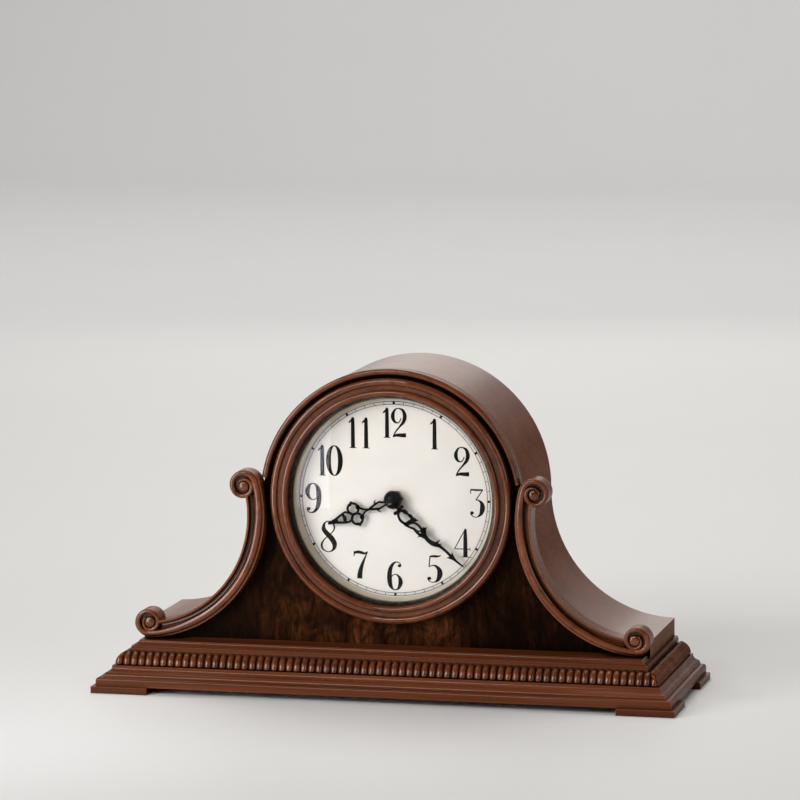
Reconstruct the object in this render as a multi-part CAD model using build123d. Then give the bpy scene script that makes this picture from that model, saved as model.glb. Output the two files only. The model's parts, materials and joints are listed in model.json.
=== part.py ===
from build123d import *
import os
from math import acos, asin, atan2, cos, degrees, hypot, radians, sin, sqrt

# Tambour mantel clock. Millimetres, +Z up, the dial faces -Y.
# The origin is on the table, under the middle of the clock.

# Overall
overall_width = 470.0
overall_depth = 156.0
overrun = 1.0
glue_gap = 0.3
running_gap = 0.05

# Base: insets are measured from the outer face of the feet
foot_height = 5.3
foot_length = 46.0
foot_depth = 44.5
plinth_inset = 3.3
plinth_fillet = 4.3
bead_rise = 2.4
ogee_foot_inset = 7.9
ogee_top_inset = 13.8
ogee_rise = 7.2
plinth_lip = 1.0
gadroon_inset = 15.0
gadroon_radius = 10.8
gadroon_pitch = 6.1
gadroon_groove = 1.5
riser_height = 11.8
cap_inset = 26.2
cap_thickness = 2.3
rail_inset = 28.0
rail_height = 3.9
rail_cove = 3.2

# Case
hump_margin = 7.8  # outside the bezel
flank_radius = 101.5
flank_drop = 2.3  # flank centres below the hump's centre
wing_inset = 29.0  # from the outer face of the feet
wing_tip_length = 40.0
shell_wall = 9.0
panel_front = 53.0  # set back from the front of the feet
panel_thickness = 6.4
rabbet_wall = 3.5
back_recess = 6.0
back_thickness = 6.0

# Arch moulding
arch_margin = 4.2  # outside the bezel
arch_width = 4.4
arch_thickness = 8.0
arch_end_angle = 9.8
arch_lip = 1.4

# Scrolls: the right one, the left is its mirror image
scroll_outer_radius = 102.5
scroll_width = 13.0
scroll_thickness = 16.6
scroll_fillet = 2.0
scroll_groove_width = 3.4
scroll_groove_depth = 2.6
scroll_step_width = 1.5
scroll_step_depth = 3.0
scroll_bead_drop = 1.2
upper_eye_reach = 11.5  # outside the hump
upper_eye_rise = 11.2  # above the hump's centre
upper_volute_radius = 13.0
lower_eye_inset = 9.2  # from the end of the flank
lower_eye_rise = 17.3  # above the cap board
lower_volute_radius = 12.4
volute_floor = 3.0
volute_rim = 2.7
volute_edge = 0.4
volute_turns = 1.35
eye_radius = 4.6
eye_rise = 2.4

# Bezel, glass and dial
bezel_inner_radius = 81.0
bezel_cove = 2.9
bezel_bead = 4.6
bezel_groove = 3.4
bezel_ring = 5.8
bezel_height = 11.0
bezel_bead_shoulder = 9.2
bezel_ring_height = 10.2
bezel_ring_shoulder = 7.2
bezel_groove_height = 7.8
bezel_clear = 17.9  # above the rail
dial_rise = 1.5  # dial centre above the hump's centre
glass_hold = 3.0
glass_thickness = 2.0
glass_sag = 8.5
dial_opening_margin = 1.5  # outside the inner edge of the bezel
flange_front_lip = 0.25  # inside that edge
flange_back_lip = 2.4
dial_overlap = 7.5
dial_thickness = 1.0
dial_screw_inset = 3.7
dial_screw_count = 4
dial_screw_radius = 1.2
dial_screw_length = 4.0
dial_screw_head_radius = 2.4
dial_screw_head = 1.2

# Hands
hour_shown = 8
minute_shown = 22
hand_thickness = 0.6
hand_gap = 1.2
hour_hand_shortfall = 21.5  # against the minute hand
hour_hub_radius = 6.2
hour_tail_width = 2.6
hour_ring_radius = 4.9
hour_ring_width = 1.6
minute_tip_gap = 3.1  # inside the flange
minute_hub_radius = 5.6
minute_stem_width = 2.2
minute_scroll_radius = 4.2
minute_scroll_width = 1.5
minute_arrow_width = 5.6
hand_cap_radius = 7.3
hand_cap_height = 6.0

# Movement housing, placed from the dial centre
housing_half_width = 29.5
housing_top = 34.0
housing_bottom = 64.0
housing_depth = 32.0
housing_wall = 2.0
bushing_radius = 4.0
nut_radius = 7.5
nut_thickness = 2.0
hour_tube_radius = 2.5
minute_arbor_radius = 1.5
arbor_overhang = 1.0
cover_thickness = 2.0
cover_screw_radius = 1.2
cover_screw_head_radius = 2.4
cover_screw_head = 1.4
cover_screw_length = 9.0
cover_post_radius = 3.0
set_knob_radius = 7.0
set_knob_thickness = 7.0
set_knob_grips = 18
set_knob_grip_radius = 0.7

# Wheel train
gear_module = 0.4
rotor_module = 0.3
gear_thickness = 1.0
level_gap = 0.6
pivot_radius = 0.5
pivot_depth = 1.2
cannon_teeth = 15
minute_wheel_teeth = 45
minute_pinion_teeth = 12
hour_wheel_teeth = 48
pinion_teeth = 8
centre_wheel_teeth = 64
third_wheel_teeth = 60
fourth_wheel_teeth = 40
intermediate_wheel_teeth = 48
minute_wheel_direction = 270.0
third_direction = 30.0
fourth_direction = 150.0
intermediate_direction = 180.0
rotor_direction = 240.0
tooth_tip_share = 0.85
tooth_root_share = 1.2
tooth_tip_width_share = 0.16
tooth_foot_width_share = 0.42
rotor_magnet_radius = 2.6
rotor_magnet_thickness = 1.5
train_plate_thickness = 1.5
train_plate_half_width = 25.0
train_plate_top = 30.0
train_plate_bottom = 16.0
pillar_radius = 2.0
pillar_inset = 3.0
stator_width = 9.0
stator_thickness = 0.8
stator_air_gap = 0.5
coil_radius = 3.4
coil_length = 15.0
coil_core_width = 2.6
coil_reach = 8.0
coil_gap = 0.6

# Electronics and speaker
board_half_width = 20.0
board_height = 18.0
board_rise = 11.0
board_thickness = 1.2
board_set_back = 5.0
board_post_radius = 1.5
board_post_inset = 3.0
speaker_drop = 41.0
speaker_radius = 20.0
speaker_frame_depth = 5.0
speaker_magnet_radius = 10.0
speaker_magnet_depth = 8.0
speaker_cone_depth = 3.0
grille_slot_width = 2.2
grille_slot_length = 24.0
grille_slot_pitch = 5.0
grille_slot_count = 7

# Slide switches
switch_place_x = 13.0
switch_place_z = 21.0
switch_travel = 3.0
switch_stem_length = 5.0
switch_stem_width = 2.6
switch_flange = 1.6
switch_flange_thickness = 1.2
switch_head = 2.2
switch_ridge = 0.6
switch_gap = 0.3

# Cells
cell_radius = 13.0
cell_length = 50.0
cell_button_radius = 3.2
cell_button_height = 1.6
cell_gap = 0.25
bay_wall = 2.0
contact_thickness = 0.6
contact_width = 14.0
bay_centre_drop = 5.0

# Access door
door_half_width = 66.0
door_top = 44.0
door_bottom = 72.0
door_gap = 0.8
door_opens = 105.0
sound_hole_radius = 2.5
sound_hole_pitch = 10.0
sound_hole_rows = 3
sound_hole_columns = 5
hinge_knuckle_radius = 2.2
hinge_pin_radius = 1.0
hinge_length = 24.0
hinge_spread = 38.0
hinge_leaf_width = 14.0
hinge_leaf = 1.0
hinge_gap = 0.3
hinge_screw_radius = 1.1
hinge_screw_head_radius = 2.0
hinge_screw_head = 0.7
hinge_screw_length = 4.0
hinge_screw_spread = 12.0
hinge_screw_place = 9.0
knob_stem_radius = 2.0
knob_stem = 2.0
knob_head_radius = 5.0
knob_head = 3.0
knob_inset = 9.0
catch_height = 20.0
catch_thickness = 5.0
catch_reach = 7.0
catch_hold = 12.0
strike_thickness = 0.8
strike_gap = 0.2

# Screws of the back and the base
back_screw_radius = 1.2
back_screw_head_radius = 2.3
back_screw_head = 1.0
back_screw_length = 12.0
back_screw_inset = 2.7
back_screw_angles = (25.0, 90.0, 155.0)
base_screw_radius = 2.0
base_screw_head_radius = 4.0
base_screw_head = 2.5
base_screw_inset = 51.0  # from the outer face of the feet
base_screw_front = 80.0  # from the front of the feet
base_screw_rear = 24.0  # from the back
base_screw_grip = 8.0

# Planes worked out from the sizes above
half_width = overall_width / 2
back_y = overall_depth / 2
front_y = -back_y
plinth_top = foot_height + plinth_fillet + bead_rise + ogee_rise + plinth_lip
riser_inset = gadroon_inset + gadroon_radius
riser_top = plinth_top + riser_height
case_bottom = riser_top + cap_thickness
rail_top = case_bottom + rail_height
bezel_bead_radius = bezel_inner_radius + bezel_cove
bezel_groove_radius = bezel_bead_radius + bezel_bead
bezel_ring_radius = bezel_groove_radius + bezel_groove
bezel_outer_radius = bezel_ring_radius + bezel_ring
glass_radius = bezel_inner_radius + glass_hold
dial_opening_radius = bezel_inner_radius + dial_opening_margin
flange_front_radius = bezel_inner_radius - flange_front_lip
flange_back_radius = bezel_inner_radius - flange_back_lip
dial_radius = dial_opening_radius + dial_overlap
dial_screw_circle = dial_radius - dial_screw_inset
minute_hand_length = flange_back_radius - minute_tip_gap
hour_hand_length = minute_hand_length - hour_hand_shortfall
arch_inner_radius = bezel_outer_radius + arch_margin
arch_outer_radius = arch_inner_radius + arch_width
hump_radius = bezel_outer_radius + hump_margin
dial_height = rail_top + bezel_clear + bezel_outer_radius
hump_height = dial_height - dial_rise
flank_height = hump_height - flank_drop
wing_half_width = half_width - wing_inset
base_screw_x = half_width - base_screw_inset
panel_y = front_y + panel_front
dial_y = panel_y + panel_thickness
shell_front = dial_y
back_panel_y = back_y - back_recess
back_panel_front = back_panel_y - back_thickness
flank_x = hump_radius + flank_radius
scroll_end_x = min(wing_half_width, flank_x)
housing_y = dial_y + dial_thickness
housing_inner_y = housing_y + housing_wall
cover_y = housing_y + housing_depth - cover_thickness
cover_back = cover_y + cover_thickness
level_pitch = gear_thickness + level_gap
nodes = {}


def box(x0, x1, y0, y1, z0, z1):
    size = Box(x1 - x0, y1 - y0, z1 - z0)
    return Pos((x0 + x1) / 2, (y0 + y1) / 2, (z0 + z1) / 2) * size


def rod(radius, y0, y1, x, z):
    return Pos(x, (y0 + y1) / 2, z) * Rot(90, 0, 0) * Cylinder(radius, y1 - y0)


def post(radius, z0, z1, x, y):
    return Pos(x, y, (z0 + z1) / 2) * Cylinder(radius, z1 - z0)


def slab(sketch, y0, y1):
    return extrude(Plane.XZ.offset(-y1) * sketch, y1 - y0)


def turned(edges, x, z, arc=360.0, last_angle=0.0):
    ring = revolve(make_face(edges), Axis.Y, arc)
    return Pos(x, 0, z) * Rot(0, -last_angle, 0) * ring


def path(start, *steps):
    edges = []
    here = start
    for step in steps:
        if len(step) == 2 and not isinstance(step[0], tuple):
            edges.append(Line(here, step))
            here = step
        else:
            edges.append(ThreePointArc(here, step[0], step[1]))
            here = step[1]
    return edges


def place(distance, angle, centre=(0.0, 0.0)):
    turn = radians(angle)
    return (centre[0] + distance * cos(turn), centre[1] + distance * sin(turn))


# Base mouldings: one edge profile on the front and both sides, square at the back
def moulded_board(steps):
    def edge_at(spot):
        spots = []
        for step in steps:
            arc = isinstance(step[0], tuple)
            spots.append((spot(*step[0]), spot(*step[1])) if arc else spot(*step))
        return spots

    right = edge_at(lambda inset, z: (half_width - inset, z))
    left = edge_at(lambda inset, z: (inset - half_width, z))
    front = edge_at(lambda inset, z: (front_y + inset, z))
    top = steps[-1][1] if isinstance(steps[-1][0], tuple) else steps[-1]
    across = path(right[0], *right[1:])
    across += [Line((half_width - top[0], top[1]), (top[0] - half_width, top[1]))]
    across += path(left[0], *left[1:]) + [Line(left[0], right[0])]
    along = path(front[0], *front[1:])
    along += [Line((front_y + top[0], top[1]), (back_y, top[1]))]
    along += [Line((back_y, top[1]), (back_y, steps[0][1]))]
    along += [Line((back_y, steps[0][1]), front[0])]
    wide = extrude(Plane.XZ.offset(-back_y) * make_face(across), overall_depth)
    deep = extrude(Plane.YZ.offset(-half_width) * make_face(along), overall_width)
    return wide & deep


def base_screw_places():
    depths = (front_y + base_screw_front, back_y - base_screw_rear)
    return [(side * base_screw_x, y) for side in (-1, 1) for y in depths]


def base_screw_holes():
    holes = []
    for x, y in base_screw_places():
        low = foot_height - overrun
        shank = post(base_screw_radius + running_gap, low, case_bottom + base_screw_grip, x, y)
        head = post(base_screw_head_radius + running_gap, low, foot_height + base_screw_head, x, y)
        holes.append(shank + head)
    return holes


fillet_top = foot_height + plinth_fillet
ogee_foot = fillet_top + bead_rise
ogee_mid_inset = (ogee_foot_inset + ogee_top_inset) / 2
ogee_quarter = (ogee_top_inset - ogee_foot_inset) / 4
ogee_bow_share = 0.35
plinth_steps = [
    (plinth_inset, foot_height),
    (plinth_inset, fillet_top),
    ((plinth_inset + bead_rise * (1 - sqrt(0.5)), fillet_top + bead_rise * sqrt(0.5)),
     (plinth_inset + bead_rise, ogee_foot)),
    (ogee_foot_inset, ogee_foot),
    ((ogee_foot_inset + ogee_quarter * ogee_bow_share, ogee_foot + ogee_rise / 4),
     (ogee_mid_inset, ogee_foot + ogee_rise / 2)),
    ((ogee_top_inset - ogee_quarter * ogee_bow_share, plinth_top - plinth_lip - ogee_rise / 4),
     (ogee_top_inset, plinth_top - plinth_lip)),
    (ogee_top_inset, plinth_top),
]
plinth = moulded_board(plinth_steps)
riser = moulded_board([(riser_inset, plinth_top), (riser_inset, riser_top)])
cap = moulded_board([(cap_inset, riser_top), (cap_inset, case_bottom)])
for hole in base_screw_holes():
    plinth = plinth - hole
    riser = riser - hole
    cap = cap - hole
nodes["plinth"] = plinth
nodes["riser_board"] = riser
nodes["cap_board"] = cap

for end, y0 in (("front", front_y), ("rear", back_y - foot_depth)):
    foot_x = half_width - foot_length
    nodes["foot_" + end + "_left"] = box(-half_width, -foot_x, y0, y0 + foot_depth, 0, foot_height)
    nodes["foot_" + end + "_right"] = box(foot_x, half_width, y0, y0 + foot_depth, 0, foot_height)


# Gadroon: a quarter-round strip of ribs that run up and over it
def gadroon_strip(length):
    count = max(1, round(length / gadroon_pitch))
    pitch = length / count
    valley = gadroon_radius - gadroon_groove
    steps = [(-length / 2, valley)]
    for rib in range(count):
        left = rib * pitch - length / 2
        steps.append(((left + pitch / 2, gadroon_radius), (left + pitch, valley)))
    steps += [(length / 2, 0), (-length / 2, 0)]
    return revolve(make_face(path((-length / 2, 0), *steps)), Axis.X, 90)


def prism(points, z0, z1):
    return extrude(Plane.XY.offset(z0) * make_face(path(points[0], *points[1:], points[0])), z1 - z0)


outer_x = half_width - gadroon_inset
inner_x = half_width - riser_inset
outer_y = front_y + gadroon_inset
inner_y = front_y + riser_inset
front_cut = [(-outer_x, outer_y), (outer_x, outer_y), (inner_x, inner_y), (-inner_x, inner_y)]
side_cut = [(outer_x, outer_y), (outer_x, back_y), (inner_x, back_y), (inner_x, inner_y)]
front_strip = Pos(0, inner_y, plinth_top) * Rot(0, 0, 180) * gadroon_strip(2 * outer_x)
side_length = back_y - outer_y
side_strip = Pos(inner_x, (outer_y + back_y) / 2, plinth_top) * Rot(0, 0, -90) * gadroon_strip(side_length)
nodes["gadroon_front"] = front_strip & prism(front_cut, plinth_top, riser_top)
gadroon_right = side_strip & prism(side_cut, plinth_top, riser_top)
nodes["gadroon_right"] = gadroon_right
nodes["gadroon_left"] = mirror(gadroon_right, Plane.YZ)

rail_lip = rail_height - rail_cove
rail_bow = rail_cove * sqrt(0.5)
rail_steps = [
    (rail_inset, case_bottom),
    (rail_inset, case_bottom + rail_lip),
    ((rail_inset + rail_bow, rail_top - rail_bow), (rail_inset + rail_cove, rail_top)),
]
rail_block = box(-half_width, half_width, front_y, panel_y, case_bottom, rail_top)
nodes["front_rail"] = moulded_board(rail_steps) & rail_block


# Case outline: hump, concave flanks and square wing ends, drawn in by an inset
def case_outline(inset, end_x):
    hump = hump_radius - inset
    flank = flank_radius + inset
    flank_end = min(end_x, flank_x)
    reach = flank_x - flank_end
    wing_top = flank_height - sqrt(flank ** 2 - reach ** 2)
    right_wing = [(end_x, wing_top)]
    if flank_end < end_x:
        right_wing.append((flank_end, wing_top))
    left_wing = [(-x, z) for x, z in reversed(right_wing)]
    middle = (180.0 + 360.0 - degrees(acos(-reach / flank))) / 2
    bend = place(flank, middle, (flank_x, flank_height))
    return make_face(path(
        (end_x, case_bottom),
        *right_wing,
        (bend, (hump, flank_height)),
        (hump, hump_height),
        ((0, hump_height + hump), (-hump, hump_height)),
        (-hump, flank_height),
        ((-bend[0], bend[1]), left_wing[0]),
        *left_wing[1:],
        (-end_x, case_bottom),
        (end_x, case_bottom),
    ))


hollow_x = wing_half_width - wing_tip_length
shell = slab(case_outline(0, wing_half_width), shell_front, back_y)
shell = shell - slab(case_outline(shell_wall, hollow_x), shell_front - overrun, back_y + overrun)
rabbet = case_outline(rabbet_wall, wing_half_width - rabbet_wall)
shell = shell - slab(rabbet, back_panel_front, back_y + overrun)
for hole in base_screw_holes():
    shell = shell - hole


def back_screw_spots():
    spots = []
    reach = hump_radius - rabbet_wall - back_screw_inset
    for angle in back_screw_angles:
        spots.append(place(reach, angle, (0, hump_height)))
    low_x = hollow_x + shell_wall
    for side in (-1, 1):
        spots.append((side * low_x, case_bottom + rabbet_wall + back_screw_inset))
    return spots


def back_screw(spot, spare):
    tip = back_panel_y - back_screw_length
    head = rod(back_screw_head_radius, back_panel_y, back_panel_y + back_screw_head, *spot)
    shank = rod(back_screw_radius + spare, tip - spare, back_panel_y + spare, *spot)
    return shank if spare else head + shank


panel_edge = rabbet_wall + glue_gap
back = slab(case_outline(panel_edge, wing_half_width - panel_edge), back_panel_front, back_panel_y)
opening_top = dial_height + door_top
opening_bottom = dial_height - door_bottom
back = back - box(-door_half_width, door_half_width, back_panel_front - overrun, back_panel_y + overrun,
                  opening_bottom, opening_top)
for spot in back_screw_spots():
    back = back - back_screw(spot, running_gap)
    shell = shell - back_screw(spot, running_gap)
nodes["case_shell"] = shell
nodes["back_screws"] = Compound(children=[back_screw(spot, 0) for spot in back_screw_spots()])

front = slab(case_outline(0, wing_half_width), panel_y, dial_y)
front = front - rod(dial_opening_radius, panel_y - overrun, dial_y + overrun, 0, dial_height)


def dial_screw_spots():
    return [place(dial_screw_circle, 45 + 360 / dial_screw_count * turn, (0, dial_height))
            for turn in range(dial_screw_count)]


dial_back = dial_y + dial_thickness
dial = rod(dial_radius, dial_y, dial_back, 0, dial_height)
dial = dial - rod(bushing_radius + running_gap, dial_y - overrun, dial_back + overrun, 0, dial_height)
dial_screws = []
for spot in dial_screw_spots():
    tip = dial_back - dial_screw_length
    hole = rod(dial_screw_radius + running_gap, tip - running_gap, dial_back + overrun, *spot)
    front = front - hole
    dial = dial - hole
    head = rod(dial_screw_head_radius, dial_back, dial_back + dial_screw_head, *spot)
    dial_screws.append(rod(dial_screw_radius, tip, dial_back, *spot) + head)
nodes["front_panel"] = front
nodes["dial_plate"] = dial
nodes["dial_screws"] = Compound(children=dial_screws)

# Arch moulding over the hump
arch_front = panel_y - arch_thickness
arch_edges = path(
    (arch_inner_radius, panel_y),
    (arch_inner_radius, arch_front + arch_lip),
    (((arch_inner_radius + arch_outer_radius) / 2, arch_front), (arch_outer_radius, arch_front + arch_lip)),
    (arch_outer_radius, panel_y),
    (arch_inner_radius, panel_y),
)
nodes["arch_moulding"] = turned(arch_edges, 0, hump_height, 180 - 2 * arch_end_angle, 180 - arch_end_angle)


# Scroll: a moulded arc with a volute at each end
def spiral(centre, start_radius, end_radius, start_angle, turns, hand):
    quarters = max(2, round(turns * 4))

    def spot(quarter):
        share = quarter / quarters
        radius = start_radius + (end_radius - start_radius) * share
        return place(radius, start_angle + hand * turns * 360 * share, centre)

    return [(spot(quarter + 0.5), spot(quarter + 1)) for quarter in range(quarters)], spot(0), spot(quarters)


def volute(centre, radius, start_angle, hand):
    scroll_y = panel_y - scroll_thickness
    disc = rod(radius, scroll_y + volute_floor, panel_y, *centre)
    inner_end = eye_radius + volute_rim / 3
    rim_start = radius - volute_edge
    outer, first, _ = spiral(centre, rim_start, inner_end + volute_rim, start_angle, volute_turns, hand)
    inner, inner_first, inner_last = spiral(
        centre, rim_start - volute_rim, inner_end, start_angle, volute_turns, hand)
    outer_path = path(first, *outer, inner_last)
    back_steps = []
    inner_points = [inner_first]
    for through, end in inner:
        inner_points += [through, end]
    inner_points.reverse()
    for step in range(0, len(inner_points) - 2, 2):
        back_steps.append((inner_points[step + 1], inner_points[step + 2]))
    rim_face = make_face(outer_path + path(inner_last, *back_steps, first))
    rim = slab(rim_face, scroll_y, scroll_y + volute_floor + overrun)
    eye_top = scroll_y - eye_rise / 3
    eye_edges = path(
        (0, eye_top),
        ((eye_radius * sqrt(0.5), eye_top + eye_rise * (1 - sqrt(0.5))), (eye_radius, eye_top + eye_rise)),
        (eye_radius, scroll_y + volute_floor + overrun),
        (0, scroll_y + volute_floor + overrun),
        (0, eye_top),
    )
    return disc + rim + turned(eye_edges, *centre)


# The scroll's arc runs just inside both volutes, so its centre is as far from each eye as that needs
def meeting(first, first_reach, second, second_reach):
    apart = hypot(second[0] - first[0], second[1] - first[1])
    along = (first_reach ** 2 - second_reach ** 2 + apart ** 2) / (2 * apart)
    aside = sqrt(first_reach ** 2 - along ** 2)
    way = ((second[0] - first[0]) / apart, (second[1] - first[1]) / apart)
    return (first[0] + along * way[0] - aside * way[1], first[1] + along * way[1] + aside * way[0])


scroll_y = panel_y - scroll_thickness
upper_eye = (hump_radius + upper_eye_reach, hump_height + upper_eye_rise)
lower_eye = (scroll_end_x - lower_eye_inset, case_bottom + lower_eye_rise)
scroll_centre = meeting(upper_eye, scroll_outer_radius - upper_volute_radius,
                        lower_eye, scroll_outer_radius - lower_volute_radius)
scroll_inner_radius = scroll_outer_radius - scroll_width
groove_start = scroll_inner_radius + scroll_fillet
groove_end = groove_start + scroll_groove_width
bead_end = scroll_outer_radius - scroll_step_width
groove_mid = (groove_start + groove_end) / 2
scroll_bead_mid = (groove_end + bead_end) / 2
scroll_edges = path(
    (scroll_inner_radius, panel_y),
    (scroll_inner_radius, scroll_y),
    (groove_start, scroll_y),
    ((groove_mid, scroll_y + scroll_groove_depth), (groove_end, scroll_y + scroll_bead_drop)),
    ((scroll_bead_mid, scroll_y), (bead_end, scroll_y + scroll_bead_drop)),
    (bead_end, scroll_y + scroll_step_depth),
    (scroll_outer_radius, scroll_y + scroll_step_depth),
    (scroll_outer_radius, panel_y),
    (scroll_inner_radius, panel_y),
)
upper_end = 180 - degrees(asin((upper_eye[1] - scroll_centre[1]) / scroll_outer_radius))
lower_end = 270 - degrees(asin((scroll_centre[0] - lower_eye[0]) / scroll_outer_radius))
band = turned(scroll_edges, *scroll_centre, lower_end - upper_end, lower_end)
clear_floor = scroll_y + volute_floor
band -= rod(upper_volute_radius - volute_rim / 2, scroll_y - overrun, clear_floor, *upper_eye)
band -= rod(lower_volute_radius - volute_rim / 2, scroll_y - overrun, clear_floor, *lower_eye)
upper_volute = volute(upper_eye, upper_volute_radius, 180, -1)
lower_volute = volute(lower_eye, lower_volute_radius, 270, 1)
scroll_right = band + upper_volute + lower_volute
nodes["scroll_right"] = scroll_right
nodes["scroll_left"] = mirror(scroll_right, Plane.YZ)

# Bezel: turned ring with a cove, a bead, a groove and a broad outer ring
bead_mid = (bezel_bead_radius + bezel_groove_radius) / 2
ring_mid = (bezel_ring_radius + bezel_outer_radius) / 2
seat_radius = glass_radius + glue_gap
cove_bow_share = 0.3
cove_x = bezel_inner_radius + (bezel_bead_radius - bezel_inner_radius) * cove_bow_share
cove_mid = (cove_x, panel_y - (glass_thickness + glue_gap + bezel_bead_shoulder) / 2)
bezel_edges = path(
    (seat_radius, panel_y),
    (seat_radius, panel_y - glass_thickness),
    (bezel_inner_radius, panel_y - glass_thickness),
    (bezel_inner_radius, panel_y - glass_thickness - glue_gap),
    (cove_mid, (bezel_bead_radius, panel_y - bezel_bead_shoulder)),
    ((bead_mid, panel_y - bezel_height), (bezel_groove_radius, panel_y - bezel_bead_shoulder)),
    (bezel_groove_radius, panel_y - bezel_groove_height),
    (bezel_ring_radius, panel_y - bezel_groove_height),
    (bezel_ring_radius, panel_y - bezel_ring_shoulder),
    ((ring_mid, panel_y - bezel_ring_height), (bezel_outer_radius, panel_y - bezel_ring_shoulder)),
    (bezel_outer_radius, panel_y),
    (seat_radius, panel_y),
)
nodes["bezel_ring"] = turned(bezel_edges, 0, dial_height)

# Convex glass with a flat rim that the bezel holds against the panel
dome_radius = bezel_inner_radius - glass_thickness / 2
glass_front = panel_y - glass_thickness


def dome(radius, sag, base):
    half = radius / 2
    sphere = (radius ** 2 + sag ** 2) / (2 * sag)
    return (half, base - (sqrt(sphere ** 2 - half ** 2) - (sphere - sag)))


glass_edges = path(
    (0, panel_y - glass_sag),
    (dome(dome_radius, glass_sag, panel_y), (dome_radius, panel_y)),
    (glass_radius, panel_y),
    (glass_radius, glass_front),
    (dome_radius, glass_front),
    (dome(dome_radius, glass_sag, glass_front), (0, glass_front - glass_sag)),
    (0, panel_y - glass_sag),
)
nodes["glass_lens"] = turned(glass_edges, 0, dial_height)

flange_edges = path(
    (flange_front_radius, panel_y),
    (dial_opening_radius - glue_gap, panel_y),
    (dial_opening_radius - glue_gap, dial_y),
    (flange_back_radius, dial_y),
    (flange_front_radius, panel_y),
)
nodes["dial_flange"] = turned(flange_edges, 0, dial_height)

# Hands, drawn pointing at twelve and turned to the time shown
nut_front = dial_y - nut_thickness
hour_back = nut_front - hand_gap
hour_front = hour_back - hand_thickness
minute_back = hour_front - hand_gap
minute_front = minute_back - hand_thickness
minute_angle = minute_shown * 6.0
hour_angle = hour_shown * 30.0 + minute_shown / 2


def disc_at(radius, x, z):
    return Pos(x, z) * Circle(radius)


def ring_at(radius, width, x, z):
    return disc_at(radius, x, z) - disc_at(radius - width, x, z)


def strip_at(width, x0, z0, x1, z1):
    turn = degrees(atan2(z1 - z0, x1 - x0))
    return Pos((x0 + x1) / 2, (z0 + z1) / 2) * Rot(0, 0, turn) * Rectangle(hypot(x1 - x0, z1 - z0), width)


def hour_hand_shape():
    ring_share = 0.52
    fork_share = 0.30
    neck_share = 0.66
    point_share = 0.90
    ring_z = hour_hand_length * ring_share
    fork_z = hour_hand_length * fork_share
    neck_z = hour_hand_length * neck_share
    point_z = hour_hand_length * point_share
    ring_x = hour_ring_radius - hour_ring_width / 2
    shape = disc_at(hour_hub_radius, 0, 0) + strip_at(hour_tail_width, 0, 0, 0, fork_z)
    ring_reach = hour_ring_radius - hour_ring_width
    for side in (-1, 1):
        shape += strip_at(hour_ring_width, 0, fork_z, side * ring_x, ring_z - ring_reach)
        shape += ring_at(hour_ring_radius, hour_ring_width, side * ring_x, ring_z)
        shape += strip_at(hour_ring_width, side * ring_x, ring_z + ring_reach, 0, point_z)
    shape += strip_at(hour_ring_width, 0, ring_z, 0, neck_z)
    shape += disc_at(hour_ring_width, 0, neck_z)
    shape += strip_at(hour_ring_width, 0, neck_z, 0, hour_hand_length)
    return shape


def minute_hand_shape():
    scroll_shares = (0.24, 0.38, 0.52)
    arrow_share = 0.80
    shape = disc_at(minute_hub_radius, 0, 0)
    arrow_z = minute_hand_length * arrow_share
    shape += strip_at(minute_stem_width, 0, 0, 0, arrow_z)
    side = 1
    for share in scroll_shares:
        shape += ring_at(minute_scroll_radius, minute_scroll_width, side * minute_scroll_radius / 2,
                         minute_hand_length * share)
        side = -side
    half = minute_arrow_width / 2
    tip = [(-half, arrow_z), (half, arrow_z), (0, minute_hand_length), (-half, arrow_z)]
    return shape + make_face(path(tip[0], *tip[1:]))


def hand(shape, bore, y0, y1, angle):
    whole = slab(shape - disc_at(bore + running_gap, 0, 0), y0, y1)
    return Pos(0, 0, dial_height) * Rot(0, angle, 0) * whole


nodes["hour_hand"] = hand(hour_hand_shape(), hour_tube_radius, hour_front, hour_back, hour_angle)
nodes["minute_hand"] = hand(minute_hand_shape(), minute_arbor_radius, minute_front, minute_back, minute_angle)
cap_seat = minute_front - arbor_overhang
cap_bore = minute_arbor_radius + running_gap
cap_edges = path(
    (0, minute_front),
    (hand_cap_radius, minute_front),
    (hand_cap_radius, cap_seat),
    (dome(hand_cap_radius, hand_cap_height, cap_seat), (0, cap_seat - hand_cap_height)),
    (0, minute_front),
)
cap_hole = rod(cap_bore, cap_seat, minute_front + overrun, 0, dial_height)
nodes["hand_cap"] = turned(cap_edges, 0, dial_height) - cap_hole
nut = slab(RegularPolygon(nut_radius, 6), nut_front, dial_y) - rod(
    bushing_radius + running_gap, nut_front - overrun, dial_y + overrun, 0, 0)
nodes["mounting_nut"] = Pos(0, 0, dial_height) * nut


# Wheel train: every wheel sits at its level behind the front of the housing
def level(step):
    return housing_inner_y + level_gap + step * level_pitch


def gear(teeth, module, step, x, z, facing, gap_first):
    pitch_radius = teeth * module / 2
    tip = pitch_radius + tooth_tip_share * module
    root = pitch_radius - tooth_root_share * module
    pitch_angle = 360 / teeth
    start = facing + (pitch_angle / 2 if gap_first else 0)
    points = []
    for tooth in range(teeth):
        middle = start + tooth * pitch_angle
        for radius, share in ((root, -tooth_foot_width_share), (tip, -tooth_tip_width_share),
                              (tip, tooth_tip_width_share), (root, tooth_foot_width_share)):
            points.append(place(radius, middle + share / 2 * pitch_angle))
    points.append(points[0])
    wheel = slab(make_face(path(points[0], *points[1:])), level(step), level(step) + gear_thickness)
    return Pos(x, 0, dial_height + z) * wheel


def spread(module, *teeth):
    return module * sum(teeth) / 2


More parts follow.
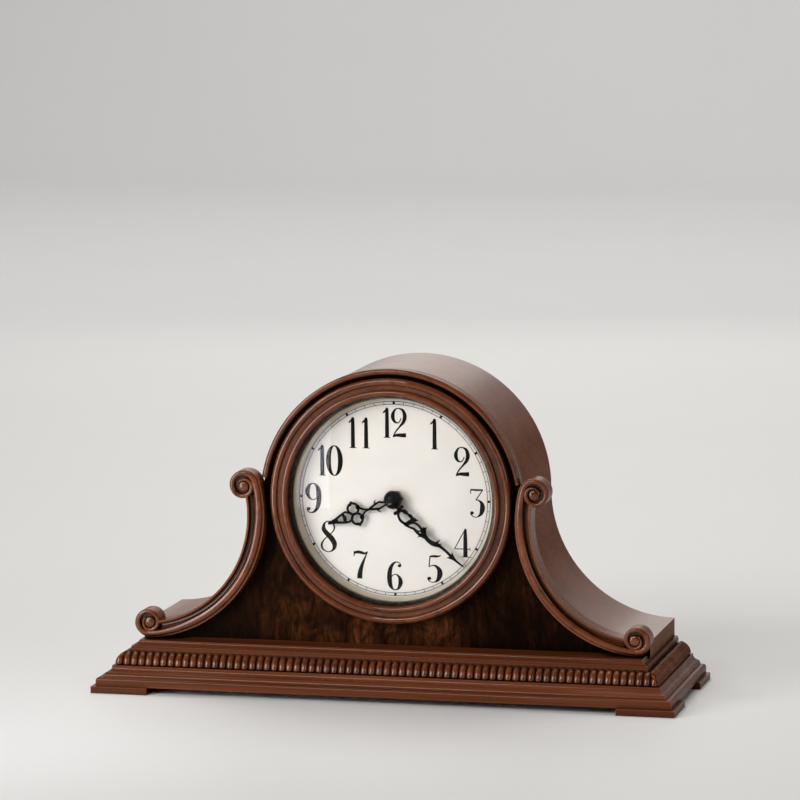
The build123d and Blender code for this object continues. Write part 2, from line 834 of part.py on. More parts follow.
minute_reach = spread(gear_module, cannon_teeth, minute_wheel_teeth)
third_reach = spread(gear_module, centre_wheel_teeth, pinion_teeth)
fourth_reach = spread(gear_module, third_wheel_teeth, pinion_teeth)
intermediate_reach = spread(gear_module, fourth_wheel_teeth, pinion_teeth)
rotor_reach = spread(rotor_module, intermediate_wheel_teeth, pinion_teeth)
minute_spot = place(minute_reach, minute_wheel_direction)
third_spot = place(third_reach, third_direction)
fourth_spot = place(fourth_reach, fourth_direction, third_spot)
intermediate_spot = place(intermediate_reach, intermediate_direction, fourth_spot)
rotor_spot = place(rotor_reach, rotor_direction, intermediate_spot)
hour_level, cannon_level, centre_level, third_level, fourth_level, intermediate_level, rotor_level = range(7)
magnet_y = level(rotor_level)
plate_y = magnet_y + rotor_magnet_thickness + level_gap
plate_back = plate_y + train_plate_thickness


def arbor(spot):
    front_end = housing_inner_y - pivot_depth + running_gap
    return rod(pivot_radius, front_end, plate_back, spot[0], dial_height + spot[1])


def hub_through(radius, y0, y1, spot):
    return rod(radius, y0, y1, spot[0], dial_height + spot[1])


hour_gear = gear(hour_wheel_teeth, gear_module, hour_level, 0, 0, minute_wheel_direction, True)
hour_tube = hub_through(hour_tube_radius, hour_front, level(hour_level) + gear_thickness, (0, 0))
arbor_bore = minute_arbor_radius + running_gap
hour_bore = hub_through(arbor_bore, hour_front - overrun, housing_y + housing_depth, (0, 0))
nodes["hour_wheel"] = hour_gear + hour_tube - hour_bore
cannon = gear(cannon_teeth, gear_module, cannon_level, 0, 0, minute_wheel_direction, False)
knob_front = cover_back + level_gap
arbor_shaft = hub_through(minute_arbor_radius, cap_seat, knob_front + set_knob_thickness / 2, (0, 0))
nodes["minute_arbor"] = cannon + arbor_shaft
minute_facing = minute_wheel_direction + 180
minute_gear = gear(minute_wheel_teeth, gear_module, cannon_level, *minute_spot, minute_facing, True)
minute_pinion = gear(minute_pinion_teeth, gear_module, hour_level, *minute_spot, minute_facing, False)
minute_neck_y = level(hour_level) + gear_thickness
minute_neck = gear_module * minute_pinion_teeth / 3
minute_hub = hub_through(minute_neck, minute_neck_y, level(cannon_level), minute_spot)
stub_end = level(cannon_level) + gear_thickness
minute_bore = hub_through(pivot_radius + running_gap, housing_inner_y, stub_end + overrun, minute_spot)
nodes["minute_wheel"] = minute_gear + minute_pinion + minute_hub - minute_bore
centre_gear = gear(centre_wheel_teeth, gear_module, centre_level, 0, 0, third_direction, False)
nodes["centre_wheel"] = centre_gear - hour_bore


def train_wheel(spot, pinion_step, pinion_facing, wheel_teeth, wheel_module, wheel_step, wheel_facing):
    pinion = gear(pinion_teeth, gear_module, pinion_step, *spot, pinion_facing, True)
    body = pinion + arbor(spot)
    neck = gear_module * pinion_teeth / 4
    body += hub_through(neck, level(pinion_step), level(wheel_step), spot)
    return body + gear(wheel_teeth, wheel_module, wheel_step, *spot, wheel_facing, False)


nodes["third_wheel"] = train_wheel(
    third_spot, centre_level, third_direction + 180,
    third_wheel_teeth, gear_module, third_level, fourth_direction)
nodes["fourth_wheel"] = train_wheel(
    fourth_spot, third_level, fourth_direction + 180,
    fourth_wheel_teeth, gear_module, fourth_level, intermediate_direction)
nodes["intermediate_wheel"] = train_wheel(
    intermediate_spot, fourth_level, intermediate_direction + 180,
    intermediate_wheel_teeth, rotor_module, intermediate_level, rotor_direction)
rotor_pinion = gear(pinion_teeth, rotor_module, intermediate_level, *rotor_spot, rotor_direction + 180, True)
rotor_magnet = hub_through(rotor_magnet_radius, magnet_y, magnet_y + rotor_magnet_thickness, rotor_spot)
nodes["rotor"] = rotor_pinion + rotor_magnet + arbor(rotor_spot)

# Train plate on three pillars of the housing
train_spots = (third_spot, fourth_spot, intermediate_spot, rotor_spot)
pillar_x = train_plate_half_width - pillar_inset
pillar_rise = train_plate_top - pillar_inset
pillar_drop = pillar_inset - train_plate_bottom
pillar_spots = ((pillar_x, pillar_drop), (pillar_x, pillar_rise), (-pillar_x, pillar_rise))
plate = box(-train_plate_half_width, train_plate_half_width, plate_y, plate_back,
            dial_height - train_plate_bottom, dial_height + train_plate_top)
for spot in train_spots:
    plate = plate - hub_through(pivot_radius + running_gap, plate_y - overrun, plate_back + overrun, spot)
plate = plate - hub_through(arbor_bore, plate_y - overrun, plate_back + overrun, (0, 0))
nodes["train_plate"] = plate

# Stator and coil of the stepping motor, under the train plate
stator_y = plate_y - stator_thickness
coil_x = rotor_spot[0] - coil_reach
stator_z = dial_height + rotor_spot[1]
core_x = (coil_x - coil_core_width / 2, coil_x + coil_core_width / 2)
stator = box(core_x[0], rotor_spot[0] + stator_width / 2, stator_y, plate_y,
             stator_z - stator_width / 2, stator_z + stator_width / 2)
stator -= hub_through(rotor_magnet_radius + stator_air_gap, stator_y - overrun, plate_y + overrun, rotor_spot)
core_low = stator_z - stator_width / 2 - coil_gap - coil_length - coil_gap
stator += box(*core_x, stator_y, plate_y, core_low, stator_z)
nodes["stator"] = stator
coil_top = stator_z - stator_width / 2 - coil_gap
coil_y = (stator_y + plate_y) / 2 - coil_radius
coil = post(coil_radius, coil_top - coil_length, coil_top, coil_x, coil_y)
coil_slot = box(*core_x, stator_y, plate_y + coil_radius, core_low, stator_z)
plate_clear = box(-housing_half_width, housing_half_width, stator_y, plate_back, core_low, stator_z)
nodes["coil"] = coil - coil_slot - plate_clear


# Housing: a tall middle for the train and speaker, with an open cell bay on each side
bay_half = cell_length / 2 + contact_thickness
bay_middle = dial_height - bay_centre_drop
bay_inner = housing_half_width
bay_width = 2 * (cell_radius + cell_gap)
bay_outer = bay_inner + bay_width
middle_low = dial_height - housing_bottom
middle_high = dial_height + housing_top
housing = box(-housing_half_width, housing_half_width, housing_y, cover_y, middle_low, middle_high)
housing += box(-bay_outer - bay_wall, bay_outer + bay_wall, housing_y, cover_y,
               bay_middle - bay_half - bay_wall, bay_middle + bay_half + bay_wall)
housing -= box(housing_wall - housing_half_width, housing_half_width - housing_wall, housing_inner_y,
               cover_y + overrun, middle_low + housing_wall, middle_high - housing_wall)
for side in (-1, 1):
    bay_edges = sorted((side * bay_inner, side * bay_outer))
    housing -= box(*bay_edges, housing_inner_y, cover_y + overrun,
                   bay_middle - bay_half, bay_middle + bay_half)
housing += rod(bushing_radius, nut_front, housing_inner_y, 0, dial_height)
housing -= rod(hour_tube_radius + running_gap, nut_front - overrun, housing_inner_y + overrun, 0, dial_height)
for spot in train_spots:
    pivot_end = housing_inner_y - pivot_depth
    housing -= hub_through(pivot_radius + running_gap, pivot_end, housing_inner_y + overrun, spot)
for spot in pillar_spots:
    housing += hub_through(pillar_radius, housing_inner_y, plate_y, spot)
housing += hub_through(pivot_radius, housing_inner_y, stub_end, minute_spot)
cover_screw_x = housing_half_width - housing_wall - cover_post_radius
cover_screw_spots = [(side * cover_screw_x, z) for side in (-1, 1)
                     for z in (middle_low + housing_wall + cover_post_radius,
                               middle_high - housing_wall - cover_post_radius)]
for x, z in cover_screw_spots:
    post_front = plate_back + level_gap
    housing += rod(cover_post_radius, post_front, cover_y, x, z)
    edge = housing_half_width - housing_wall
    wall_x = sorted((x, edge if x > 0 else -edge))
    web = cover_post_radius / 2
    housing += box(*wall_x, post_front, cover_y, z - web, z + web)
    housing -= rod(cover_screw_radius + running_gap, cover_back - cover_screw_length, cover_y + overrun, x, z)
nodes["movement_housing"] = housing

# Rear cover with the speaker grille, the switch slots and the screw holes
cover = box(-housing_half_width, housing_half_width, cover_y, cover_back, middle_low, middle_high)
cover -= rod(minute_arbor_radius + running_gap, cover_y - overrun, cover_back + overrun, 0, dial_height)
speaker_z = dial_height - speaker_drop
for slot in range(grille_slot_count):
    z = speaker_z + (slot - (grille_slot_count - 1) / 2) * grille_slot_pitch
    cover -= box(-grille_slot_length / 2, grille_slot_length / 2, cover_y - overrun, cover_back + overrun,
                 z - grille_slot_width / 2, z + grille_slot_width / 2)
slot_half = switch_stem_length / 2 + switch_travel + switch_gap
slot_rise = switch_stem_width / 2 + switch_gap
for side in (-1, 1):
    cover -= box(side * switch_place_x - slot_half, side * switch_place_x + slot_half, cover_y - overrun,
                 cover_back + overrun, dial_height + switch_place_z - slot_rise,
                 dial_height + switch_place_z + slot_rise)
cover_screws = []
for x, z in cover_screw_spots:
    cover -= rod(cover_screw_radius + running_gap, cover_y - overrun, cover_back + overrun, x, z)
    shank = rod(cover_screw_radius, cover_back - cover_screw_length + running_gap, cover_back, x, z)
    cover_screws.append(shank + rod(cover_screw_head_radius, cover_back, cover_back + cover_screw_head, x, z))
board_back = cover_y - board_set_back
board_low = dial_height + board_rise
for side in (-1, 1):
    post_x = side * (board_half_width - board_post_inset)
    cover += rod(board_post_radius, board_back, cover_y, post_x, board_low + board_post_inset)
nodes["movement_cover"] = cover
nodes["cover_screws"] = Compound(children=cover_screws)


def slide_switch(x):
    z = dial_height + switch_place_z
    half_long = switch_stem_length / 2
    half_wide = switch_stem_width / 2
    inner = cover_y - switch_gap
    outer = cover_back + switch_gap
    knob = box(x - half_long, x + half_long, inner, outer + switch_head, z - half_wide, z + half_wide)
    knob += box(x - half_long, x + half_long, inner - switch_flange_thickness, inner,
                z - half_wide - switch_flange, z + half_wide + switch_flange)
    for ridge in (-1, 0, 1):
        ridge_x = x + ridge * half_long / 2
        knob += box(ridge_x - switch_ridge / 2, ridge_x + switch_ridge / 2, outer + switch_head,
                    outer + switch_head + switch_ridge, z - half_wide, z + half_wide)
    return knob


nodes["chime_switch"] = slide_switch(-switch_place_x)
nodes["volume_switch"] = slide_switch(switch_place_x)
knob_back = knob_front + set_knob_thickness
knob = hub_through(set_knob_radius, knob_front, knob_back, (0, 0))
for grip in range(set_knob_grips):
    spot = place(set_knob_radius, grip * 360 / set_knob_grips)
    knob -= hub_through(set_knob_grip_radius, knob_front - overrun, knob_back + overrun, spot)
knob -= hub_through(arbor_bore, knob_front - overrun, (knob_front + knob_back) / 2, (0, 0))
nodes["set_knob"] = knob

nodes["circuit_board"] = box(-board_half_width, board_half_width, board_back - board_thickness, board_back,
                             board_low, board_low + board_height)
speaker_front = cover_y - speaker_frame_depth
basket_edges = path(
    (0, speaker_front),
    (speaker_radius * 2 / 3, speaker_front),
    (speaker_radius, cover_y - speaker_cone_depth),
    (speaker_radius, cover_y),
    (speaker_radius - bay_wall, cover_y),
    (speaker_radius / 3, cover_y - speaker_cone_depth),
    (0, cover_y - speaker_cone_depth),
    (0, speaker_front),
)
nodes["speaker_frame"] = turned(basket_edges, 0, speaker_z)
magnet_front = speaker_front - speaker_magnet_depth
nodes["speaker_magnet"] = rod(speaker_magnet_radius, magnet_front, speaker_front, 0, speaker_z)

# Two cells between contact plates
cell_y = housing_inner_y + cell_gap + cell_radius
contacts = []
for name, side in (("left", -1), ("right", 1)):
    cell_x = side * (bay_inner + bay_outer) / 2
    can_top = bay_middle + cell_length / 2 - cell_button_height
    cell = post(cell_radius, bay_middle - cell_length / 2, can_top, cell_x, cell_y)
    cell += post(cell_button_radius, can_top, can_top + cell_button_height, cell_x, cell_y)
    nodes["cell_" + name] = cell
    for end in (-1, 1):
        wall = bay_middle + end * bay_half
        face = wall - end * contact_thickness
        low, high = sorted((wall, face))
        half = contact_width / 2
        contacts.append(box(cell_x - half, cell_x + half, cell_y - half, cell_y + half, low, high))
nodes["cell_contacts"] = Compound(children=contacts)

# Access door in the back, hinged on the right with the catch on the left
door_low = opening_bottom + door_gap
door_high = opening_top - door_gap
door_x = door_half_width - door_gap
door = box(-door_x, door_x, back_panel_front, back_panel_y, door_low, door_high)
for row in range(sound_hole_rows):
    for column in range(sound_hole_columns):
        x = (column - (sound_hole_columns - 1) / 2) * sound_hole_pitch
        z = speaker_z + (row - (sound_hole_rows - 1) / 2) * sound_hole_pitch
        door -= rod(sound_hole_radius, back_panel_front - overrun, back_panel_y + overrun, x, z)
hinge_x = door_half_width - door_gap / 2
hinge_y = back_panel_y + hinge_knuckle_radius + hinge_gap
door_middle = (door_low + door_high) / 2
hinge_heights = (door_middle - hinge_spread, door_middle + hinge_spread)


def hinge_knuckle(z0, z1, side):
    ring = post(hinge_knuckle_radius, z0, z1, hinge_x, hinge_y)
    tab_x = sorted((hinge_x, hinge_x + side * (hinge_knuckle_radius + hinge_gap + hinge_leaf)))
    tab = box(*tab_x, back_panel_y, back_panel_y + hinge_leaf, z0, z1)
    return ring + tab - post(hinge_pin_radius + running_gap, z0 - overrun, z1 + overrun, hinge_x, hinge_y)


def hinge_screw_places(z, side):
    return [(hinge_x + side * hinge_screw_place, z + end * hinge_screw_spread / 2) for end in (-1, 1)]


def hinge_leaf_solid(z, side):
    half = hinge_length / 2
    third = hinge_length / 6
    near = hinge_x + side * (hinge_knuckle_radius + hinge_gap)
    leaf_x = sorted((near, hinge_x + side * hinge_leaf_width))
    leaf = box(*leaf_x, back_panel_y, back_panel_y + hinge_leaf, z - half, z + half)
    spans = ((z - half, z - third - hinge_gap), (z + third + hinge_gap, z + half)) if side > 0 else (
        (z - third, z + third),)
    for span in spans:
        leaf += hinge_knuckle(*span, side)
    for spot in hinge_screw_places(z, side):
        leaf_back = back_panel_y + hinge_leaf
        leaf -= rod(hinge_screw_radius + running_gap, back_panel_y - overrun, leaf_back + overrun, *spot)
    return leaf


def hinge_screw_solid(spot):
    leaf_back = back_panel_y + hinge_leaf
    shank = rod(hinge_screw_radius, leaf_back - hinge_screw_length, leaf_back, *spot)
    return shank + rod(hinge_screw_head_radius, leaf_back, leaf_back + hinge_screw_head, *spot)


fixed_leaves = []
moving_leaves = []
fixed_screws = []
moving_screws = []
pins = []
for z in hinge_heights:
    fixed_leaves.append(hinge_leaf_solid(z, 1))
    moving_leaves.append(hinge_leaf_solid(z, -1))
    pins.append(post(hinge_pin_radius, z - hinge_length / 2, z + hinge_length / 2, hinge_x, hinge_y))
    screw_tip = back_panel_y + hinge_leaf - hinge_screw_length - running_gap
    for spot in hinge_screw_places(z, 1):
        back -= rod(hinge_screw_radius + running_gap, screw_tip, back_panel_y + overrun, *spot)
        fixed_screws.append(hinge_screw_solid(spot))
    for spot in hinge_screw_places(z, -1):
        door -= rod(hinge_screw_radius + running_gap, screw_tip, back_panel_y + overrun, *spot)
        moving_screws.append(hinge_screw_solid(spot))
nodes["back_panel"] = back
nodes["access_door"] = door
nodes["hinge_fixed_leaves"] = Compound(children=fixed_leaves)
nodes["hinge_moving_leaves"] = Compound(children=moving_leaves)
nodes["hinge_pins"] = Compound(children=pins)
nodes["hinge_fixed_screws"] = Compound(children=fixed_screws)
nodes["hinge_moving_screws"] = Compound(children=moving_screws)
knob_x = knob_inset - door_half_width
knob_neck = back_panel_y + knob_stem
door_knob = rod(knob_stem_radius, back_panel_y, knob_neck, knob_x, door_middle)
nodes["door_knob"] = door_knob + rod(knob_head_radius, knob_neck, knob_neck + knob_head, knob_x, door_middle)
catch_low = door_middle - catch_height / 2
catch_high = door_middle + catch_height / 2
catch_back = back_panel_front - strike_thickness - strike_gap
catch_end = -door_half_width - catch_hold
catch_tip = catch_reach - door_half_width
catch = box(catch_end, catch_tip, catch_back - catch_thickness, catch_back, catch_low, catch_high)
catch += box(catch_end, -door_half_width - door_gap, catch_back, back_panel_front, catch_low, catch_high)
nodes["door_catch"] = catch
strike_front = back_panel_front - strike_thickness
nodes["strike_plate"] = box(-door_x, catch_tip, strike_front, back_panel_front, catch_low, catch_high)

base_screws = []
for x, y in base_screw_places():
    shank = post(base_screw_radius, foot_height, case_bottom + base_screw_grip - running_gap, x, y)
    base_screws.append(shank + post(base_screw_head_radius, foot_height, foot_height + base_screw_head, x, y))
nodes["base_screws"] = Compound(children=base_screws)

os.makedirs("parts", exist_ok=True)
for name, shape in nodes.items():
    export_step(shape, "parts/" + name + ".step")
print(len(nodes), "pieces")
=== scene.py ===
import bpy
import json
from math import atan2, cos, degrees, hypot, pi, radians, sin, sqrt
from mathutils import Matrix, Vector


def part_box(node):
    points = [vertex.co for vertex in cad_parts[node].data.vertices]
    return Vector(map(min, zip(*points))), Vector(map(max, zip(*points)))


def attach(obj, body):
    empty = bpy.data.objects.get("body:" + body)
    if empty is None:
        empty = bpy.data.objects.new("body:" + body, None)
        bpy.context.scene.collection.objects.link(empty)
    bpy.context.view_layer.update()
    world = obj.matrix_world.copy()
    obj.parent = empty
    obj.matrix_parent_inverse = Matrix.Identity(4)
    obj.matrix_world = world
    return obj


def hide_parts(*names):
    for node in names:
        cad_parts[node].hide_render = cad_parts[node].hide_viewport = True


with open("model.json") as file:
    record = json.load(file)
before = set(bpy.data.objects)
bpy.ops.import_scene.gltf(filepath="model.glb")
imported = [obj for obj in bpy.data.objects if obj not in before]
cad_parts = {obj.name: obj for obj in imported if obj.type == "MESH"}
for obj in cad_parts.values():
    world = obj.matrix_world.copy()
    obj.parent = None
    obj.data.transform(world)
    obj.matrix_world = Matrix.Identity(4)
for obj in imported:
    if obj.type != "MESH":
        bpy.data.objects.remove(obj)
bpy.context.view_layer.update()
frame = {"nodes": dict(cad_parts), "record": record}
nodes = frame["nodes"]
mm = 0.001


def middle(node):
    lo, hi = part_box(node)
    return (lo + hi) / 2


dialX, _, dialZ = middle("bezel_ring")
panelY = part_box("front_panel")[0].y
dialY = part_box("dial_plate")[0].y
print("frame loaded,", len(nodes), "nodes")


# small shader helpers

def newMaterial(name):
    mat = bpy.data.materials.new(name)
    mat.use_nodes = True
    return mat, mat.node_tree, mat.node_tree.nodes["Principled BSDF"]


def rgba(colour):  # a single number is a grey
    return (*colour, 1) if isinstance(colour, tuple) else (colour, colour, colour, 1)


def setInputs(tree, node, inputs):  # a socket is linked, anything else is a fixed value
    for key, value in inputs.items():
        socket = node.inputs[key]
        if isinstance(value, bpy.types.NodeSocket):
            tree.links.new(value, socket)
        else:
            socket.default_value = rgba(value) if socket.type == "RGBA" else value


def addNode(tree, kind, inputs=None, **settings):
    node = tree.nodes.new(kind)
    for key, value in settings.items():
        setattr(node, key, value)
    setInputs(tree, node, inputs or {})
    return node


def surface(tree, output):
    return addNode(tree, "ShaderNodeNewGeometry").outputs[output]


def objectPlace(tree):
    return addNode(tree, "ShaderNodeTexCoord").outputs["Object"]


def axisOf(tree, vector, axis):
    return addNode(tree, "ShaderNodeSeparateXYZ", {"Vector": vector}).outputs[axis]


def sums(tree, operation, first, second):
    return addNode(tree, "ShaderNodeMath", {0: first, 1: second}, operation=operation).outputs["Value"]


def vectorSums(tree, operation, first, second, output="Value"):
    node = addNode(tree, "ShaderNodeVectorMath", {0: first, 1: second}, operation=operation)
    return node.outputs[output]


def mapRange(tree, value, start, end, low=0.0, high=1.0, curve="LINEAR"):
    node = addNode(tree, "ShaderNodeMapRange", {"Value": value, "From Min": start, "From Max": end,
                                                "To Min": low, "To Max": high}, interpolation_type=curve)
    return node.outputs["Result"]


def ramp(tree, factor, spots, colours):
    node = addNode(tree, "ShaderNodeValToRGB", {"Fac": factor})
    bar = node.color_ramp.elements
    while len(bar) < len(spots):
        bar.new(0.5)
    for element, spot, colour in zip(bar, spots, colours):
        element.position = spot
        element.color = rgba(colour)
    return node.outputs["Color"]


def mixColour(tree, blend, factor, first, second):
    node = addNode(tree, "ShaderNodeMix", data_type="RGBA", blend_type=blend)
    setInputs(tree, node, {0: factor, 6: first, 7: second})  # 6 and 7 are its colour sockets
    return node.outputs[2]


def darken(tree, colour, shade, share=1.0):
    return mixColour(tree, "MULTIPLY", share, colour, shade)


def noise(tree, scale, detail=4.0, rough=0.55, distort=0.0, stretch=(1, 1, 1), shift=(0, 0, 0)):
    mapping = addNode(tree, "ShaderNodeMapping",
                      {"Vector": objectPlace(tree), "Scale": stretch, "Location": shift})
    node = addNode(tree, "ShaderNodeTexNoise",
                   {"Vector": mapping.outputs["Vector"], "Scale": scale, "Detail": detail,
                    "Roughness": rough, "Distortion": distort})
    return node.outputs["Fac"]


def relief(tree, strength, depth, height):
    node = addNode(tree, "ShaderNodeBump", {"Strength": strength, "Distance": depth * mm, "Height": height})
    return node.outputs["Normal"]


# settings for the painted shade in grooves and corners, and for the rubbed edges
wearAndShade = dict(shadeSpots=(0.25, 0.85), shadeSamples=8, rubSpots=(0.80, 0.985), rubSamples=6)


def recess(tree, distance, dark):  # painted shade: darker where grooves and corners enclose the surface; on the wood it partly stands for dark glaze left in the hollows
    shade = addNode(tree, "ShaderNodeAmbientOcclusion", {"Distance": distance * mm},
                    samples=wearAndShade["shadeSamples"])
    return ramp(tree, shade.outputs["AO"], wearAndShade["shadeSpots"], (dark, 1.0))


def wornEdge(tree, radius):  # 1 on outside edges, where the stain is rubbed through
    soft = addNode(tree, "ShaderNodeBevel", {"Radius": radius * mm}, samples=wearAndShade["rubSamples"])
    match = vectorSums(tree, "DOT_PRODUCT", soft.outputs["Normal"], surface(tree, "Normal"))
    return ramp(tree, match, wearAndShade["rubSpots"], (1.0, 0.0))


# stained wood: colours are linear, stretch is longest across the grain, gloss is (axis, none, full), and the
# number after gloss is how dark the painted shade in grooves and corners goes
woods = {
    "cherryCase": dict(
        deep=(0.118, 0.0340, 0.0118), body=(0.165, 0.0480, 0.0170), pale=(0.205, 0.0640, 0.0235),
        edge=(0.24, 0.070, 0.022), stretch=(0.10, 1.0, 1.6), rough=0.46, shine=0.05,
        coat=0.85, haze=0.30, gloss=("Z", 0.30, 1.0), recessShade=0.14, streak=0.86),
    "cherryCarved": dict(
        deep=(0.090, 0.0225, 0.0068), body=(0.150, 0.0395, 0.0125), pale=(0.220, 0.0630, 0.0210),
        edge=(0.46, 0.135, 0.038), stretch=(0.45, 1.0, 0.45), rough=0.28, shine=0.10,
        coat=0.75, haze=0.09, gloss=("Y", -0.25, -0.75), recessShade=0.05, streak=0.70),
    "cherryTurned": dict(
        deep=(0.090, 0.0225, 0.0068), body=(0.140, 0.0360, 0.0110), pale=(0.200, 0.0560, 0.0185),
        edge=(0.34, 0.095, 0.028), stretch=(0.45, 1.0, 0.45), rough=0.26, shine=0.10,
        coat=0.80, haze=0.07, gloss=("Y", -0.35, -0.80), recessShade=0.14, streak=0.74,
        rebate=(83.7, 0.7, 0.05)),  # radius, softness and shade of the black edge at the glass
    "cherryBase": dict(
        deep=(0.072, 0.0165, 0.0046), body=(0.116, 0.0285, 0.0085), pale=(0.172, 0.0450, 0.0138),
        edge=(0.24, 0.062, 0.018), stretch=(0.05, 1.2, 1.4), rough=0.32, shine=0.10,
        coat=0.30, haze=0.12, gloss=("Y", -0.2, -0.8), recessShade=0.07, streak=0.70),
    "backBoard": dict(
        deep=(0.060, 0.024, 0.012), body=(0.105, 0.044, 0.022), pale=(0.150, 0.066, 0.034),
        edge=(0.20, 0.090, 0.045), stretch=(1.0, 1.0, 0.06), rough=0.55, shine=0.20,
        coat=0.04, haze=0.3, gloss=("Y", 0.4, 0.9), recessShade=0.40, streak=0.66),
}
# noises are (scale, detail, roughness, distortion), lengths are in millimetres
grain = dict(bands=(34, 6, 0.6, 0.9), bandSpots=(0.30, 0.52, 0.74), fine=(210, 5, 0.65, 0.3),
             fineSpots=(0.30, 0.60), pores=(620, 2, 0.5, 0.0), poreSpots=(0.36, 0.46), poreDark=0.35,
             poreShare=0.5, rub=1.0, groove=8, bump=0.10, bumpDepth=0.2, glossSpots=(0.2, 0.8), dull=0.08,
             bright=0.05, tint=(1.0, 0.62, 0.40))


def bandColour(tree, wood):
    bands = noise(tree, *grain["bands"], wood["stretch"])
    return ramp(tree, bands, grain["bandSpots"], (wood["deep"], wood["body"], wood["pale"]))


def woodFinish(name, wood):
    mat, tree, bsdf = newMaterial(name)
    rough = wood["rough"]
    fine = noise(tree, *grain["fine"], wood["stretch"])
    pores = noise(tree, *grain["pores"], tuple(axis * axis for axis in wood["stretch"]))
    streaks = ramp(tree, fine, grain["fineSpots"], (wood["streak"], 1.0))
    dots = ramp(tree, pores, grain["poreSpots"], (grain["poreDark"], 1.0))
    colour = darken(tree, bandColour(tree, wood), streaks)
    colour = darken(tree, colour, dots, grain["poreShare"])
    colour = mixColour(tree, "MIX", wornEdge(tree, grain["rub"]), colour, wood["edge"])
    # painted shade in grooves and corners, partly standing for dark glaze in the hollows
    colour = darken(tree, colour, recess(tree, grain["groove"], wood["recessShade"]))
    axis, none, full = wood["gloss"]
    facing = axisOf(tree, surface(tree, "Normal"), axis)
    polish = mapRange(tree, facing, none, full, high=wood["coat"], curve="SMOOTHSTEP")
    if "rebate" in wood:
        radius, soft, dark = wood["rebate"]
        flat = vectorSums(tree, "MULTIPLY", objectPlace(tree), (1, 0, 1), "Vector")
        reach = vectorSums(tree, "DISTANCE", flat, (dialX, 0, dialZ))
        clear = mapRange(tree, reach, (radius - soft) * mm, (radius + soft) * mm, low=dark)
        colour = darken(tree, colour, clear)
        polish = sums(tree, "MULTIPLY", polish, clear)
    setInputs(tree, bsdf, {
        "Base Color": colour,
        "Roughness": ramp(tree, fine, grain["glossSpots"], (rough + grain["dull"], rough - grain["bright"])),
        "Normal": relief(tree, grain["bump"], grain["bumpDepth"], pores),
        "Specular IOR Level": wood["shine"], "Specular Tint": grain["tint"],
        "Coat Weight": polish, "Coat Roughness": wood["haze"]})
    return mat


# burl veneer on the front face alone: dark ground with upright flames and small swirls
burl = dict(deep=(0.0120, 0.0034, 0.0009), body=(0.042, 0.0118, 0.0034), pale=(0.215, 0.0640, 0.0200),
            spots=(0.40, 0.54, 0.74), cloud=(20, 4, 0.55, 1.2, (1.0, 1.0, 0.55), (0.11, 0, 0.02)),
            swirl=(62, 6, 0.62, 3.4, (1.0, 1.0, 0.42)), swirlDark=0.16, swirlShare=0.9,
            flame=(120, 5, 0.62, 1.4, (1.0, 1.0, 0.14)), flameDark=0.28, flameShare=0.8, edges=(0.40, 0.60),
            warm=(-0.036, 0.0, 0.050), warmReach=0.105, warmCore=0.02, cooler=-0.06, warmer=0.12,
            front=-0.7, corner=22, recessShade=0.30, rough=0.36, dull=0.06, glossSpots=(0.3, 0.7), shine=0.06,
            tint=(1.0, 0.60, 0.38))


def burlFinish(name, wood):
    mat, tree, bsdf = newMaterial(name)
    cloud, swirl, flame = (noise(tree, *burl[layer]) for layer in ("cloud", "swirl", "flame"))
    away = vectorSums(tree, "DISTANCE", objectPlace(tree), burl["warm"])
    patch = mapRange(tree, away, burl["warmReach"], burl["warmCore"], burl["cooler"], burl["warmer"])
    figure = sums(tree, "ADD", cloud, patch)
    colour = ramp(tree, figure, burl["spots"], (burl["deep"], burl["body"], burl["pale"]))
    for layer, dark, share in ((swirl, "swirlDark", "swirlShare"), (flame, "flameDark", "flameShare")):
        colour = darken(tree, colour, ramp(tree, layer, burl["edges"], (burl[dark], 1.0)), burl[share])
    front = sums(tree, "LESS_THAN", axisOf(tree, surface(tree, "True Normal"), "Y"), burl["front"])
    colour = mixColour(tree, "MIX", front, bandColour(tree, wood), colour)
    setInputs(tree, bsdf, {
        # painted shade in the corners around the veneer
        "Base Color": darken(tree, colour, recess(tree, burl["corner"], burl["recessShade"])),
        "Roughness": ramp(tree, swirl, burl["glossSpots"], (burl["rough"] + burl["dull"], burl["rough"])),
        "Specular IOR Level": burl["shine"], "Specular Tint": burl["tint"]})
    return mat


# paints, metals and plastics: base colour, how much it drifts, grain size and bump
finishes = {
    "dialIvory": dict(colour=(0.82, 0.782, 0.725), drift=0.03, size=40, rough=0.50, bump=0.02,
                      shade=0.60, reach=8),
    "flangeCream": dict(colour=(0.62, 0.53, 0.40), drift=0.06, size=60, rough=0.34, bump=0.02,
                        shade=0.45, reach=6),
    "handBlack": dict(colour=(0.0035, 0.0034, 0.0034), drift=0.25, size=90, rough=0.08, bump=0.01,
                      shine=0.05),
    "dialInk": dict(colour=(0.0045, 0.0043, 0.0043), drift=0.20, size=120, rough=0.60, bump=0.02,
                    shine=0.10),
    "hingeBrass": dict(colour=(0.72, 0.50, 0.20), drift=0.18, size=80, rough=0.26, bump=0.05,
                       metal=1.0, shade=0.4),
    "screwSteel": dict(colour=(0.56, 0.56, 0.55), drift=0.12, size=150, rough=0.32, bump=0.05,
                       metal=1.0, shade=0.4),
    "blackMoulding": dict(colour=(0.022, 0.022, 0.024), drift=0.20, size=300, rough=0.48, bump=0.12,
                          shade=0.6),
    "wheelWhite": dict(colour=(0.74, 0.72, 0.66), drift=0.06, size=120, rough=0.38, bump=0.03, shade=0.5),
    "magnetGrey": dict(colour=(0.11, 0.11, 0.12), drift=0.25, size=400, rough=0.55, bump=0.15, shade=0.5),
    "windingCopper": dict(colour=(0.55, 0.22, 0.09), drift=0.20, size=500, rough=0.34, bump=0.20, metal=0.8),
    "boardGreen": dict(colour=(0.030, 0.16, 0.065), drift=0.20, size=200, rough=0.36, bump=0.04, coat=0.3),
}
